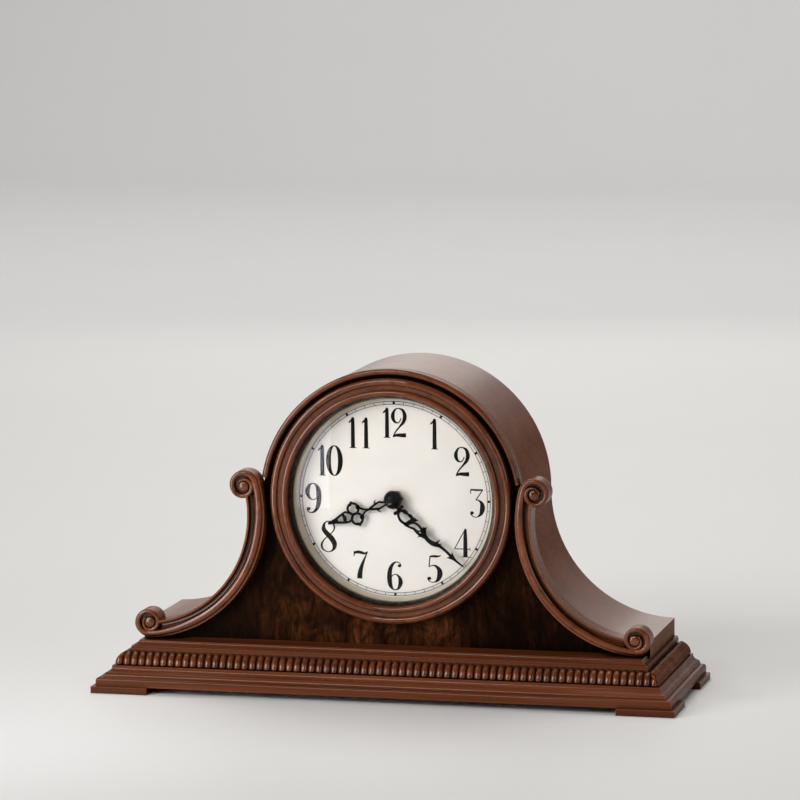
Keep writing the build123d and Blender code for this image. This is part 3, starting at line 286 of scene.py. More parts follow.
speckle = dict(broad=(5, 0.6), fine=(3, 0.5), finer=6, tintSpots=(0.32, 0.68), glossSpots=(0.3, 0.7),
               dull=0.06, bright=0.04, bumpDepth=0.1)


def plainFinish(name, colour, drift, size, rough, bump, metal=0.0, coat=0.0, shine=0.5, shade=None, reach=5):
    mat, tree, bsdf = newMaterial(name)
    low = tuple(channel * (1 - drift) for channel in colour)
    high = tuple(min(1.0, channel * (1 + drift)) for channel in colour)
    tint = ramp(tree, noise(tree, size, *speckle["broad"]), speckle["tintSpots"], (low, high))
    if shade is not None:
        tint = darken(tree, tint, recess(tree, reach, shade))
    fine = noise(tree, size * speckle["finer"], *speckle["fine"])
    gloss = (rough + speckle["dull"], rough - speckle["bright"])
    setInputs(tree, bsdf, {
        "Base Color": tint, "Roughness": ramp(tree, fine, speckle["glossSpots"], gloss),
        "Normal": relief(tree, bump, speckle["bumpDepth"], fine),
        "Metallic": metal, "Specular IOR Level": shine, "Coat Weight": coat})
    return mat


# dark jacket with one warm band under the button end, heights as shares from the foot
cell = dict(steel=(0.45, 0.45, 0.44), black=(0.016, 0.016, 0.018), band=(0.50, 0.24, 0.07), foot=0.03,
            bandFoot=0.70, bandTop=0.93, tintSize=90, tintShare=0.4, tintDark=0.7, glossSize=300,
            rough=(0.34, 0.26), spots=(0.3, 0.7), metal=0.4)


def cellJacket(name):
    mat, tree, bsdf = newMaterial(name)
    lo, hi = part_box("cell_left")
    height = mapRange(tree, axisOf(tree, objectPlace(tree), "Z"), lo.z, hi.z)
    bands = ramp(tree, height, (0.0, cell["foot"], cell["bandFoot"], cell["bandTop"]),
                 (cell["steel"], cell["black"], cell["band"], cell["steel"]))
    bands.node.color_ramp.interpolation = "CONSTANT"
    drift = ramp(tree, noise(tree, cell["tintSize"]), cell["spots"], (cell["tintDark"], 1.0))
    setInputs(tree, bsdf, {
        "Base Color": darken(tree, bands, drift, cell["tintShare"]),
        "Roughness": ramp(tree, noise(tree, cell["glossSize"]), cell["spots"], cell["rough"]),
        "Metallic": cell["metal"]})
    return mat


# convex glass: clear, with the gloss of its outer face
glass = dict(tint=(0.99, 0.99, 0.985), gleam=(0.93, 0.93, 1.0), index=1.25, rough=(0.015, 0.03),
             smear=(30, 3), smearSpots=(0.3, 0.8))


def lensGlass(name):
    mat, tree, bsdf = newMaterial(name)
    smears = ramp(tree, noise(tree, *glass["smear"]), glass["smearSpots"], glass["rough"])
    clear = addNode(tree, "ShaderNodeBsdfTransparent", {"Color": glass["tint"]})
    gloss = addNode(tree, "ShaderNodeBsdfGlossy", {"Color": glass["gleam"], "Roughness": smears})
    edge = addNode(tree, "ShaderNodeFresnel", {"IOR": glass["index"]})
    outer = sums(tree, "SUBTRACT", 1.0, surface(tree, "Backfacing"))
    share = sums(tree, "MULTIPLY", edge.outputs["Fac"], outer)
    pane = addNode(tree, "ShaderNodeMixShader", {"Fac": share, 1: clear.outputs["BSDF"],
                                                2: gloss.outputs["BSDF"]})
    tree.nodes.remove(bsdf)
    setInputs(tree, tree.nodes["Material Output"], {"Surface": pane.outputs["Shader"]})
    return mat


mats = {name: woodFinish(name, wood) for name, wood in woods.items()}
mats.update({name: plainFinish(name, **spec) for name, spec in finishes.items()})
mats["burlFront"] = burlFinish("burlFront", woods["cherryCase"])
mats["cellJacket"] = cellJacket("cellJacket")
mats["lensGlass"] = lensGlass("lensGlass")

slotFinish = {
    "cherry_wood": "cherryCase", "burl_veneer": "burlFront", "backing_wood": "backBoard",
    "lens_glass": "lensGlass", "dial_paint": "dialIvory", "flange_metal": "flangeCream",
    "hand_black": "handBlack", "brass": "hingeBrass", "steel": "screwSteel", "magnet": "magnetGrey",
    "black_plastic": "blackMoulding", "white_plastic": "wheelWhite", "copper_wire": "windingCopper",
    "circuit_green": "boardGreen", "cell_jacket": "cellJacket",
}
feet = ("foot_front_left", "foot_front_right", "foot_rear_left", "foot_rear_right")
baseBoards = feet + ("plinth", "riser_board", "cap_board", "front_rail")
turnedRings = ("bezel_ring", "arch_moulding")
for part in frame["record"]["subparts"]:
    node = part["node"]
    finish = slotFinish[part["material_slot"]]
    if node in baseBoards:
        finish = "cherryBase"
    if node in turnedRings:
        finish = "cherryTurned"
    nodes[node].data.materials.clear()
    nodes[node].data.materials.append(mats[finish])


# mesh helpers: new pieces, a loft through closed rings, and eased values

def addObject(name, data):
    made = bpy.data.objects.new(name, data)
    bpy.context.scene.collection.objects.link(made)
    return made


def addPiece(name, verts, faces, finish, body, sharpAngle=38):
    mesh = bpy.data.meshes.new(name)
    mesh.from_pydata(verts, [], faces)
    mesh.validate()
    mesh.shade_smooth()
    mesh.set_sharp_from_angle(angle=radians(sharpAngle))
    mesh.materials.append(mats[finish])
    piece = addObject(name, mesh)
    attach(piece, body)
    return piece


def inMetres(x, y, z):
    return x * mm, y * mm, z * mm


def loft(verts, faces, rings):
    start = len(verts)
    count = len(rings[0])
    for ring in rings:
        verts.extend(ring)
    for row in range(len(rings) - 1):
        for col in range(count):
            a = start + row * count + col
            b = start + row * count + (col + 1) % count
            faces.append((a, b, b + count, a + count))
    faces.append(tuple(start + col for col in reversed(range(count))))
    last = start + (len(rings) - 1) * count
    faces.append(tuple(last + col for col in range(count)))


def mirrored(verts, faces):
    return [(-x, y, z) for x, y, z in verts], [tuple(reversed(face)) for face in faces]


def ease(value):
    value = min(1.0, max(0.0, value))
    return value * value * (3 - 2 * value)


def between(table, value):  # eased steps through (place, size) pairs
    for (a, low), (b, high) in zip(table, table[1:]):
        if value <= b:
            return low + (high - low) * ease((value - a) / (b - a))
    return table[-1][1]


# carved scrolls, drawn for the right side in millimetres and degrees, and mirrored for the left
scroll = dict(outerRadius=102.5, width=13.0, upperRadius=13.0, lowerRadius=12.4, upperInset=16.1,
              lowerRise=12.4, taper=26.0, step=1.5, stepDrop=3.0, stepShare=0.75, stepFade=80, tread=0.8,
              treadRise=0.1, stub=(0.01, 0.2), bead=5.9, beadDrop=2.1, grooveStart=3.0, grooveFloor=4.8,
              grooveRise=1.2, grooveEnd=11.3, rimRound=0.35, hidden=8.0, turns=1.4, hold=50, shrink=0.62,
              floor=3.6, floorLip=3.0, proud=0.3, proudRise=60, rearGap=0.08, eye=4.4, eyeRoom=1.0,
              eyeRise=1.9, eyeProud=0.1, eyePoint=0.02, solidEye=0.8, fullness=0.8, crease=0.5, hair=0.05,
              coilSteps=84, arcSteps=72, hollowSteps=64, beadCuts=10, grooveCuts=8, discSides=72,
              eyeCuts=9, eyeSides=40)
scrollLo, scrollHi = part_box("scroll_right")
scrollFace = scrollLo.y / mm + scroll["solidEye"]  # the solid's eyes stand this far out
scrollBack = panelY / mm


def eyeMeeting(first, firstReach, second, secondReach):  # the point at each reach from two points
    apart = hypot(second[0] - first[0], second[1] - first[1])
    along = (firstReach ** 2 - secondReach ** 2 + apart ** 2) / (2 * apart)
    aside = sqrt(firstReach ** 2 - along ** 2)
    wayX, wayZ = (second[0] - first[0]) / apart, (second[1] - first[1]) / apart
    return first[0] + along * wayX - aside * wayZ, first[1] + along * wayZ + aside * wayX


upperEye = (scrollLo.x / mm + scroll["upperInset"], scrollHi.z / mm - scroll["upperRadius"])
lowerEye = (scrollHi.x / mm - scroll["lowerRadius"], scrollLo.z / mm + scroll["lowerRise"])
scrollHub = eyeMeeting(upperEye, scroll["outerRadius"] - scroll["upperRadius"],
                       lowerEye, scroll["outerRadius"] - scroll["lowerRadius"])
upperTurn = degrees(atan2(upperEye[1] - scrollHub[1], upperEye[0] - scrollHub[0]))
lowerTurn = degrees(atan2(lowerEye[1] - scrollHub[1], lowerEye[0] - scrollHub[0])) + 360
wholeTurn = scroll["turns"] * 360
rimWidths = ((0, 4.7), (70, 4.3), (180, 3.9), (360, 3.2), (wholeTurn, 1.4))


def coilRadius(start, turn):
    return between(((0, start), (scroll["hold"], start), (360, start * scroll["shrink"]),
                    (wholeTurn, scroll["eye"] + scroll["eyeRoom"])), turn)


def polar(centre, radius, angle):
    return centre[0] + radius * cos(radians(angle)), centre[1] + radius * sin(radians(angle))


def ringOf(points):  # from ((x, z), depth) pairs
    return [inMetres(x, depth, z) for (x, z), depth in points]


def scrollStations():  # (edge point, outward angle, turn in a coil) from the upper eye to the lower eye
    coil, arc = scroll["coilSteps"], scroll["arcSteps"]
    stations = []
    for index in range(coil):
        turn = wholeTurn * (1 - index / coil)
        angle = upperTurn - turn
        stations.append((polar(upperEye, coilRadius(scroll["upperRadius"], turn), angle), angle, turn))
    for index in range(arc + 1):
        angle = upperTurn + (lowerTurn - upperTurn) * index / arc
        stations.append((polar(scrollHub, scroll["outerRadius"], angle), angle, None))
    for index in range(1, coil + 1):
        turn = wholeTurn * index / coil
        angle = lowerTurn + turn
        stations.append((polar(lowerEye, coilRadius(scroll["lowerRadius"], turn), angle), angle, turn))
    return stations


def scrollSizes(angle, turn):  # widths of the step and the bead, and how far the bead stands proud
    step, stepShare, rim = scroll["step"], scroll["stepShare"], rimWidths[0][1]
    if turn is not None:
        left = max(0.0, 1 - turn / scroll["stepFade"])
        proud = scroll["proud"] * ease(turn / scroll["proudRise"])
        return step * stepShare * left, between(rimWidths, turn), proud
    share = ease(min(angle - upperTurn, lowerTurn - angle) / scroll["taper"])
    return step * (stepShare + (1 - stepShare) * share), rim + (scroll["bead"] - rim) * share, 0.0


def coilSection(step, bead, crest, rear):  # (inward, depth) pairs over the step and the bead
    shoulder = crest + scroll["stepDrop"]
    half = bead / 2
    treadEnd, treadRise = scroll["stub"]  # what is left where the step has died out
    if step > scroll["hair"]:
        treadEnd, treadRise = step * scroll["tread"], scroll["treadRise"]
    section = [(0, rear), (0, shoulder + scroll["crease"]), (0, shoulder), (treadEnd, shoulder - treadRise)]
    for cut in range(scroll["beadCuts"] + 1):
        swing = pi * cut / scroll["beadCuts"]
        rise = sin(swing) ** scroll["fullness"]
        section.append((step + half - half * cos(swing), crest + scroll["beadDrop"] * (1 - rise)))
    return section + [(step + bead, crest + scroll["floor"]), (step + bead, rear)]


def hollowSection():  # (inward, depth) pairs over the groove and the thin rim on the hollow side
    start, end = scroll["step"] + scroll["bead"], scroll["grooveEnd"]
    centre, half = (start + end) / 2, (end - start) / 2
    floor = scrollFace + scroll["grooveFloor"]
    section = [(scroll["grooveStart"], scrollBack), (scroll["grooveStart"], floor)]
    for cut in range(scroll["grooveCuts"] + 1):
        swing = pi * cut / scroll["grooveCuts"]
        section.append((centre - half * cos(swing), floor - (1 - sin(swing)) * scroll["grooveRise"]))
    tip, rim = scroll["rimRound"], scroll["width"]
    return section + [(end + scroll["hair"], scrollFace + tip), (end + tip, scrollFace),
                      (rim - tip, scrollFace), (rim, scrollFace + tip),
                      (rim, scrollFace + tip + scroll["crease"]), (rim, scrollBack)]


def volute(verts, faces, eye, start, direction, hand):  # the disc behind a coil and the low domed eye
    floor = scrollFace + scroll["floor"]
    turns = [360 * index / scroll["discSides"] for index in range(scroll["discSides"])]
    rings = []
    for depth, inset in ((scrollBack, 0.0), (floor, 0.0), (floor + 0.01, scroll["floorLip"])):
        ring = ringOf((polar(eye, coilRadius(start, turn) - scroll["hair"] - inset, direction + hand * turn),
                       depth) for turn in turns)
        rings.append(ring if hand > 0 else ring[::-1])
    loft(verts, faces, rings)
    rings = []
    for cut in range(scroll["eyeCuts"] + 1):
        swing = pi / 2 * cut / scroll["eyeCuts"]
        radius = scroll["eye"] * cos(swing) + scroll["eyePoint"]
        rise = (scroll["eyeRise"] + scroll["eyeProud"]) * sin(swing) ** scroll["fullness"]
        depth = scrollFace + scroll["eyeRise"] - rise
        rings.append(ringOf((polar(eye, radius, 360 * spoke / scroll["eyeSides"]), depth)
                            for spoke in range(scroll["eyeSides"])))
    base = [(x, (floor + scroll["crease"]) * mm, z) for x, _, z in rings[0]]
    loft(verts, faces, [base] + rings)


def scrollPiece(name, side):
    verts, faces, rings = [], [], []
    for edge, angle, turn in scrollStations():
        step, bead, proud = scrollSizes(angle, turn)
        rear = scrollBack if turn is None else scrollBack - scroll["rearGap"]  # the disc closes the back
        rings.append(ringOf((polar(edge, -inward, angle), depth)
                            for inward, depth in coilSection(step, bead, scrollFace - proud, rear)))
    loft(verts, faces, rings)
    hide = degrees(scroll["hidden"] / (scroll["outerRadius"] - scroll["width"]))
    first, last = upperTurn + hide, lowerTurn - hide  # the groove ends under the volutes
    rings = []
    for index in range(scroll["hollowSteps"] + 1):
        angle = first + (last - first) * index / scroll["hollowSteps"]
        rings.append(ringOf((polar(scrollHub, scroll["outerRadius"] - inward, angle), depth)
                            for inward, depth in hollowSection()))
    loft(verts, faces, rings)
    volute(verts, faces, upperEye, scroll["upperRadius"], upperTurn, -1)
    volute(verts, faces, lowerEye, scroll["lowerRadius"], lowerTurn, 1)
    if side < 0:
        verts, faces = mirrored(verts, faces)
    piece = addPiece(name, verts, faces, "cherryCarved", "case")
    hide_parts("scroll_right" if side > 0 else "scroll_left")


scrollPiece("carved_scroll_right", 1)
scrollPiece("carved_scroll_left", -1)
print("scrolls carved")

# gadroon: rounded lobes that rise over a quarter-round and end in an arch
gadroon = dict(pitch=6.1, lobe=2.7, topMargin=0.9, gap=0.90, across=12, up=22, footStart=1.0, footReach=2.2,
               sharp=50)


def gadroonStrip(length, radius):  # along X, centred, front at -Y, foot at z 0
    count = max(1, round(length / gadroon["pitch"]))
    pitch = length / count
    half = pitch / 2
    arc = radius * pi / 2
    endCentre = arc - gadroon["topMargin"] - half
    across = gadroon["across"]
    up = gadroon["up"]
    grid = []
    for step in range(count * across + 1):
        x = -length / 2 + step * pitch / across
        inRib = (step % across) / across
        aside = (inRib - 0.5) * pitch
        column = []
        for row in range(up + 1):
            along = arc * row / up
            reach = hypot(aside / gadroon["gap"], max(0.0, along - endCentre)) / half
            lobe = sqrt(max(0.0, 1 - min(1.0, reach) ** 2))
            foot = ease((along + gadroon["footStart"]) / gadroon["footReach"])
            r = radius - gadroon["lobe"] * (1 - lobe * foot)
            column.append((x, -r * cos(along / radius), r * sin(along / radius)))
        grid.append(column)
    return grid


def gadroonPiece(name, node, along):
    lo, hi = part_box(node)
    span = (hi - lo) / mm
    length, radius = (span.x, span.y) if along == "x" else (span.y, span.x)
    grid = gadroonStrip(length, radius)
    verts, faces = [], []
    for column in grid:
        for x, y, z in column:
            if along == "x":  # mitred at both ends
                limit = length / 2 - radius - y
                spot = (max(-limit, min(limit, x)), hi.y / mm + y, lo.z / mm + z)
            else:  # mitred at the front end only
                spotX = lo.x / mm - y if along == "right" else hi.x / mm + y
                spotY = max(lo.y / mm + length / 2 + x, lo.y / mm + radius + y)
                spot = (spotX, spotY, lo.z / mm + z)
            verts.append(inMetres(*spot))
        top = verts[-1]
        if along == "x":
            verts.append((top[0], hi.y, lo.z))
        else:
            verts.append((lo.x if along == "right" else hi.x, top[1], lo.z))
    ring = len(grid[0]) + 1
    for column in range(len(grid) - 1):
        for row in range(ring):
            a = column * ring + row
            b = column * ring + (row + 1) % ring
            face = (a, b, b + ring, a + ring)
            faces.append(face if along == "left" else tuple(reversed(face)))
    first = tuple(range(ring))
    last = tuple((len(grid) - 1) * ring + row for row in range(ring))
    faces += [first, tuple(reversed(last))] if along != "left" else [tuple(reversed(first)), last]
    piece = addPiece(name, verts, faces, "cherryCarved", "case", gadroon["sharp"])
    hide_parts(node)


gadroonPiece("gadroon_lobes_front", "gadroon_front", "x")
gadroonPiece("gadroon_lobes_right", "gadroon_right", "right")
gadroonPiece("gadroon_lobes_left", "gadroon_left", "left")
print("gadroon carved")


# strokes of changing width, used for the numerals and the hands

def smoothPath(points, steps=7):
    if len(points) == 2:
        return list(points)
    made = []
    for index in range(len(points) - 1):
        before = points[max(0, index - 1)]
        here, there = points[index], points[index + 1]
        after = points[min(len(points) - 1, index + 2)]
        for step in range(steps):
            t = step / steps
            made.append(tuple(0.5 * (2 * h + (n - b) * t + (2 * b - 5 * h + 4 * n - a) * t * t
                                     + (3 * h - b - 3 * n + a) * t ** 3)
                              for b, h, n, a in zip(before, here, there, after)))
    made.append(points[-1])
    return made


def strokePlate(verts, faces, points, front, back, put, roundEnds=False):
    path = smoothPath(points)
    left, right = [], []
    for index, (x, z, width) in enumerate(path):
        x0, z0, _ = path[max(0, index - 1)]
        x1, z1, _ = path[min(len(path) - 1, index + 1)]
        size = hypot(x1 - x0, z1 - z0) or 1.0
        sideX, sideZ = -(z1 - z0) / size * width / 2, (x1 - x0) / size * width / 2
        left.append((x + sideX, z + sideZ))
        right.append((x - sideX, z - sideZ))
    start = len(verts)
    count = len(path)
    for depth in (front, back):
        for row in (right, left):
            verts.extend(put(x, depth, z) for x, z in row)
    frontRight, frontLeft, backRight, backLeft = (start + count * row for row in range(4))
    for index in range(count - 1):
        n = index + 1
        faces.append((frontRight + index, frontLeft + index, frontLeft + n, frontRight + n))
        faces.append((backRight + n, backLeft + n, backLeft + index, backRight + index))
        faces.append((frontRight + n, backRight + n, backRight + index, frontRight + index))
        faces.append((frontLeft + index, backLeft + index, backLeft + n, frontLeft + n))
    end = count - 1
    faces.append((frontLeft, frontRight, backRight, backLeft))
    faces.append((frontRight + end, frontLeft + end, backLeft + end, backRight + end))
    if roundEnds:
        for x, z, width in (path[0], path[-1]):
            discPlate(verts, faces, x, z, width / 2, front, back, put)


def discPlate(verts, faces, x, z, radius, front, back, put, sides=28):
    rings = []
    for depth in (front, back):
        rings.append([put(x + radius * cos(2 * pi * i / sides), depth, z + radius * sin(2 * pi * i / sides))
                      for i in range(sides)])
    loft(verts, faces, rings)


def polyPlate(verts, faces, points, front, back, put):
    loft(verts, faces, [[put(x, front, z) for x, z in points], [put(x, back, z) for x, z in points]])


# numerals in a box one unit high: strokes of (x, z, width), then ball ends of (x, z, radius)
nine = 0.49
six = [(0.43, 0.85, 0.03), (0.40, 0.94, 0.03), (0.31, 0.985, 0.035), (0.20, 0.93, 0.075),
       (0.105, 0.74, 0.12), (0.075, 0.46, 0.145), (0.10, 0.19, 0.13), (0.17, 0.05, 0.06),
       (0.25, 0.015, 0.032), (0.35, 0.07, 0.075), (0.415, 0.27, 0.135), (0.375, 0.46, 0.085),
       (0.27, 0.555, 0.032), (0.17, 0.51, 0.03), (0.12, 0.42, 0.03)]
oval = [2 * pi * i / 24 for i in range(25)]
digits = {
    "0": dict(width=0.50, strokes=[[(0.25 + 0.178 * sin(turn), 0.5 + 0.483 * cos(turn),
                                     0.03 + 0.115 * abs(sin(turn)) ** 1.3) for turn in oval]], balls=[]),
    "1": dict(width=0.27, strokes=[[(0.17, 0.985, 0.03), (0.165, 0.95, 0.105), (0.165, 0.60, 0.125),
                                    (0.165, 0.015, 0.135)],
                                   [(0.17, 0.965, 0.04), (0.11, 0.90, 0.055), (0.055, 0.845, 0.05),
                                    (0.03, 0.815, 0.02)],
                                   [(0.05, 0.012, 0.024), (0.28, 0.012, 0.024)]], balls=[]),
    "2": dict(width=0.54, strokes=[[(0.35, 0.67, 0.03), (0.30, 0.555, 0.035), (0.225, 0.505, 0.04),
                                    (0.12, 0.56, 0.09), (0.07, 0.735, 0.125), (0.14, 0.93, 0.06),
                                    (0.265, 0.985, 0.035), (0.41, 0.92, 0.09), (0.47, 0.735, 0.13),
                                    (0.43, 0.55, 0.11), (0.30, 0.38, 0.06), (0.16, 0.205, 0.045),
                                    (0.08, 0.035, 0.045)],
                                   [(0.07, 0.035, 0.03), (0.20, 0.095, 0.095), (0.35, 0.095, 0.125),
                                    (0.51, 0.10, 0.14)]], balls=[]),
    "3": dict(width=0.47, strokes=[[(0.085, 0.955, 0.045), (0.25, 0.945, 0.065), (0.43, 0.955, 0.045)],
                                   [(0.09, 0.975, 0.045), (0.075, 0.89, 0.03), (0.075, 0.81, 0.018)],
                                   [(0.425, 0.955, 0.032), (0.225, 0.60, 0.028)],
                                   [(0.215, 0.605, 0.028), (0.31, 0.59, 0.045), (0.395, 0.49, 0.10),
                                    (0.415, 0.32, 0.145), (0.37, 0.13, 0.10), (0.26, 0.02, 0.034),
                                    (0.14, 0.035, 0.03), (0.065, 0.13, 0.03)]],
              balls=[(0.11, 0.155, 0.056)]),
    "4": dict(width=0.54, strokes=[[(0.375, 0.985, 0.028), (0.035, 0.29, 0.028)],
                                   [(0.03, 0.285, 0.03), (0.52, 0.285, 0.03)],
                                   [(0.515, 0.345, 0.018), (0.515, 0.225, 0.018)],
                                   [(0.375, 0.985, 0.06), (0.37, 0.70, 0.115), (0.37, 0.015, 0.135)],
                                   [(0.25, 0.012, 0.024), (0.49, 0.012, 0.024)]], balls=[]),
    "5": dict(width=0.47, strokes=[[(0.125, 0.915, 0.03), (0.19, 0.945, 0.075), (0.29, 0.945, 0.085),
                                    (0.38, 0.955, 0.05), (0.425, 0.995, 0.024)],
                                   [(0.135, 0.96, 0.03), (0.105, 0.565, 0.028)],
                                   [(0.105, 0.565, 0.028), (0.19, 0.615, 0.034), (0.29, 0.60, 0.07),
                                    (0.385, 0.47, 0.125), (0.40, 0.29, 0.145), (0.345, 0.10, 0.095),
                                    (0.24, 0.018, 0.034), (0.13, 0.035, 0.03), (0.065, 0.125, 0.03)]],
              balls=[(0.11, 0.15, 0.056)]),
    "6": dict(width=nine, strokes=[six], balls=[(0.385, 0.855, 0.054)]),
    "7": dict(width=0.45, strokes=[[(0.055, 0.985, 0.028), (0.05, 0.80, 0.028)],
                                   [(0.055, 0.90, 0.05), (0.14, 0.95, 0.10), (0.25, 0.935, 0.105),
                                    (0.34, 0.905, 0.07), (0.43, 0.975, 0.028)],
                                   [(0.425, 0.975, 0.026), (0.36, 0.78, 0.045), (0.27, 0.50, 0.09),
                                    (0.215, 0.24, 0.13), (0.20, 0.015, 0.145)]], balls=[]),
    "8": dict(width=0.48, strokes=[[(0.115, 0.80, 0.085), (0.125, 0.715, 0.115), (0.20, 0.595, 0.135),
                                    (0.315, 0.44, 0.145), (0.385, 0.27, 0.125), (0.37, 0.115, 0.075),
                                    (0.285, 0.022, 0.034), (0.185, 0.022, 0.032), (0.085, 0.115, 0.045),
                                    (0.07, 0.26, 0.05), (0.14, 0.41, 0.032), (0.285, 0.575, 0.028),
                                    (0.37, 0.70, 0.034), (0.385, 0.83, 0.042), (0.325, 0.955, 0.034),
                                    (0.235, 0.985, 0.030), (0.15, 0.93, 0.045), (0.115, 0.80, 0.085)]],
              balls=[]),
    "9": dict(width=nine, strokes=[[(nine - x, 1 - z, width) for x, z, width in six]],
              balls=[(nine - 0.385, 1 - 0.855, 0.054)]),
}
widen = {"0": 1.12, "1": 1.0, "2": 1.02, "3": 1.20, "4": 1.12, "5": 1.32, "6": 1.16, "7": 1.30, "8": 1.30,
         "9": 1.16}
numerals = dict(lift=0.05, thick=0.04, gap=0.02, wideGap=0.17, places={  # x and z from the centre, height
    1: (32.1, 52.4, 24.3), 2: (54.7, 30.9, 23.8), 3: (66.1, -1.3, 23.1), 4: (54.5, -33.3, 23.1),
    5: (31.4, -54.8, 22.3), 6: (-0.2, -61.6, 23.0), 7: (-28.3, -53.7, 22.7), 8: (-54.2, -31.8, 25.2),
    9: (-66.4, -1.4, 24.1), 10: (-52.3, 29.1, 24.5), 11: (-28.8, 51.8, 24.5), 12: (0.5, 60.4, 23.9)})
inkBack = dialY - numerals["lift"] * mm
inkFront = dialY - (numerals["lift"] + numerals["thick"]) * mm


def numeralPiece():
    verts, faces = [], []
    for hour, (aside, above, height) in numerals["places"].items():
        text = str(hour)
        size = height * mm
        gap = numerals["wideGap"] if hour == 11 else numerals["gap"]
        whole = sum(digits[digit]["width"] * widen[digit] for digit in text) + gap * (len(text) - 1)
        cursor = dialX + aside * mm - whole * size / 2
        base = dialZ + above * mm - size / 2
        for digit in text:
            shape = digits[digit]
            wide = widen[digit]

            def put(x, depth, z):
                return cursor + x * size * wide, depth, base + z * size

            for stroke in shape["strokes"]:
                strokePlate(verts, faces, stroke, inkFront, inkBack, put)
            for x, z, radius in shape["balls"]:
                discPlate(verts, faces, x, z, radius, inkFront, inkBack, put)
            cursor += (shape["width"] * wide + gap) * size
    addPiece("dial_numerals", verts, faces, "dialInk", "case")


def turnedPut(turn):  # millimetres from the dial's centre, turned clockwise by degrees
    angle = radians(turn)

    def put(x, depth, z):
        return (dialX + (x * cos(angle) + z * sin(angle)) * mm, depth,
                dialZ + (z * cos(angle) - x * sin(angle)) * mm)

    return put


track = dict(inner=75.2, outer=77.5, line=0.38, tick=0.34, hourTick=1.8, sides=180)


def trackPiece():
    verts, faces = [], []
    sides = track["sides"]
    for radius in (track["inner"], track["outer"]):
        inside, outside = (radius - track["line"] / 2) * mm, (radius + track["line"] / 2) * mm
        start = len(verts)
        for index in range(sides):
            angle = 2 * pi * index / sides
            for reach, depth in ((outside, inkFront), (inside, inkFront),
                                 (inside, inkBack), (outside, inkBack)):
                verts.append((dialX + reach * sin(angle), depth, dialZ + reach * cos(angle)))
        for index in range(sides):
            for side in range(4):
                a = start + index * 4 + side
                b = start + index * 4 + (side + 1) % 4
                c = start + (index + 1) % sides * 4 + (side + 1) % 4
                d = start + (index + 1) % sides * 4 + side
                faces.append((a, b, c, d))
    for minute in range(60):
        width = track["hourTick"] if minute % 5 == 0 else track["tick"]
        tick = [(0, track["inner"], width), (0, track["outer"], width)]
        strokePlate(verts, faces, tick, inkFront, inkBack, turnedPut(minute * 6))
    addPiece("minute_track", verts, faces, "dialInk", "case")


numeralPiece()
trackPiece()
print("dial printed")

# pierced hands, drawn pointing at twelve in millimetres, turned to the time that the CAD shows
hourHand = dict(hour=8, minute=22, lag=2.4, hub=5.6, bold=1.22, strokes=[
    [(0.3, 5.0, 1.4), (0.9, 9.1, 1.4), (2.0, 11.6, 1.3), (1.5, 15.5, 1.5), (-0.4, 21.2, 1.6),
     (-1.2, 24.8, 1.2), (-2.7, 27.5, 1.3), (-4.6, 29.1, 1.4)],
    [(-1.2, 5.0, 1.4), (-2.3, 10.2, 1.3), (-2.8, 14.0, 1.5), (-1.5, 18.6, 1.6), (-0.6, 21.4, 1.6),
     (0.2, 24.2, 1.3), (1.9, 27.3, 1.3), (4.1, 29.6, 1.4)],
    [(1.6, 15.7, 1.6), (3.2, 15.4, 1.0), (4.7, 14.0, 0.3)],
    [(-2.6, 15.1, 1.6), (-4.2, 14.7, 1.0), (-5.9, 13.2, 0.3)],
    [(1.2, 36.6, 1.5), (2.4, 38.6, 1.4), (3.8, 41.0, 1.4), (2.8, 45.2, 1.5), (1.1, 50.1, 1.7),
     (0.4, 54.1, 1.7)],
    [(-2.2, 36.6, 1.5), (-4.1, 39.0, 1.5), (-4.4, 41.5, 1.4), (-3.6, 44.8, 1.5), (-1.5, 50.6, 1.7),
     (-0.5, 54.3, 1.7)],
    [(2.7, 43.9, 1.7), (0.2, 42.9, 2.3), (-2.2, 43.4, 2.3), (-3.9, 43.0, 1.5)],
    [(-0.2, 50.5, 2.7), (-0.1, 54.0, 2.3), (0.0, 56.4, 2.0)],
], rings=[(4.1, 33.9, 4.4, 1.9), (-4.4, 33.5, 4.4, 1.9)],
    balls=[(4.1, 29.8, 1.9), (-4.6, 29.3, 1.9), (8.9, 33.6, 1.4), (-9.2, 33.1, 1.4), (7.6, 35.0, 1.0),
           (-8.0, 34.6, 1.0)])
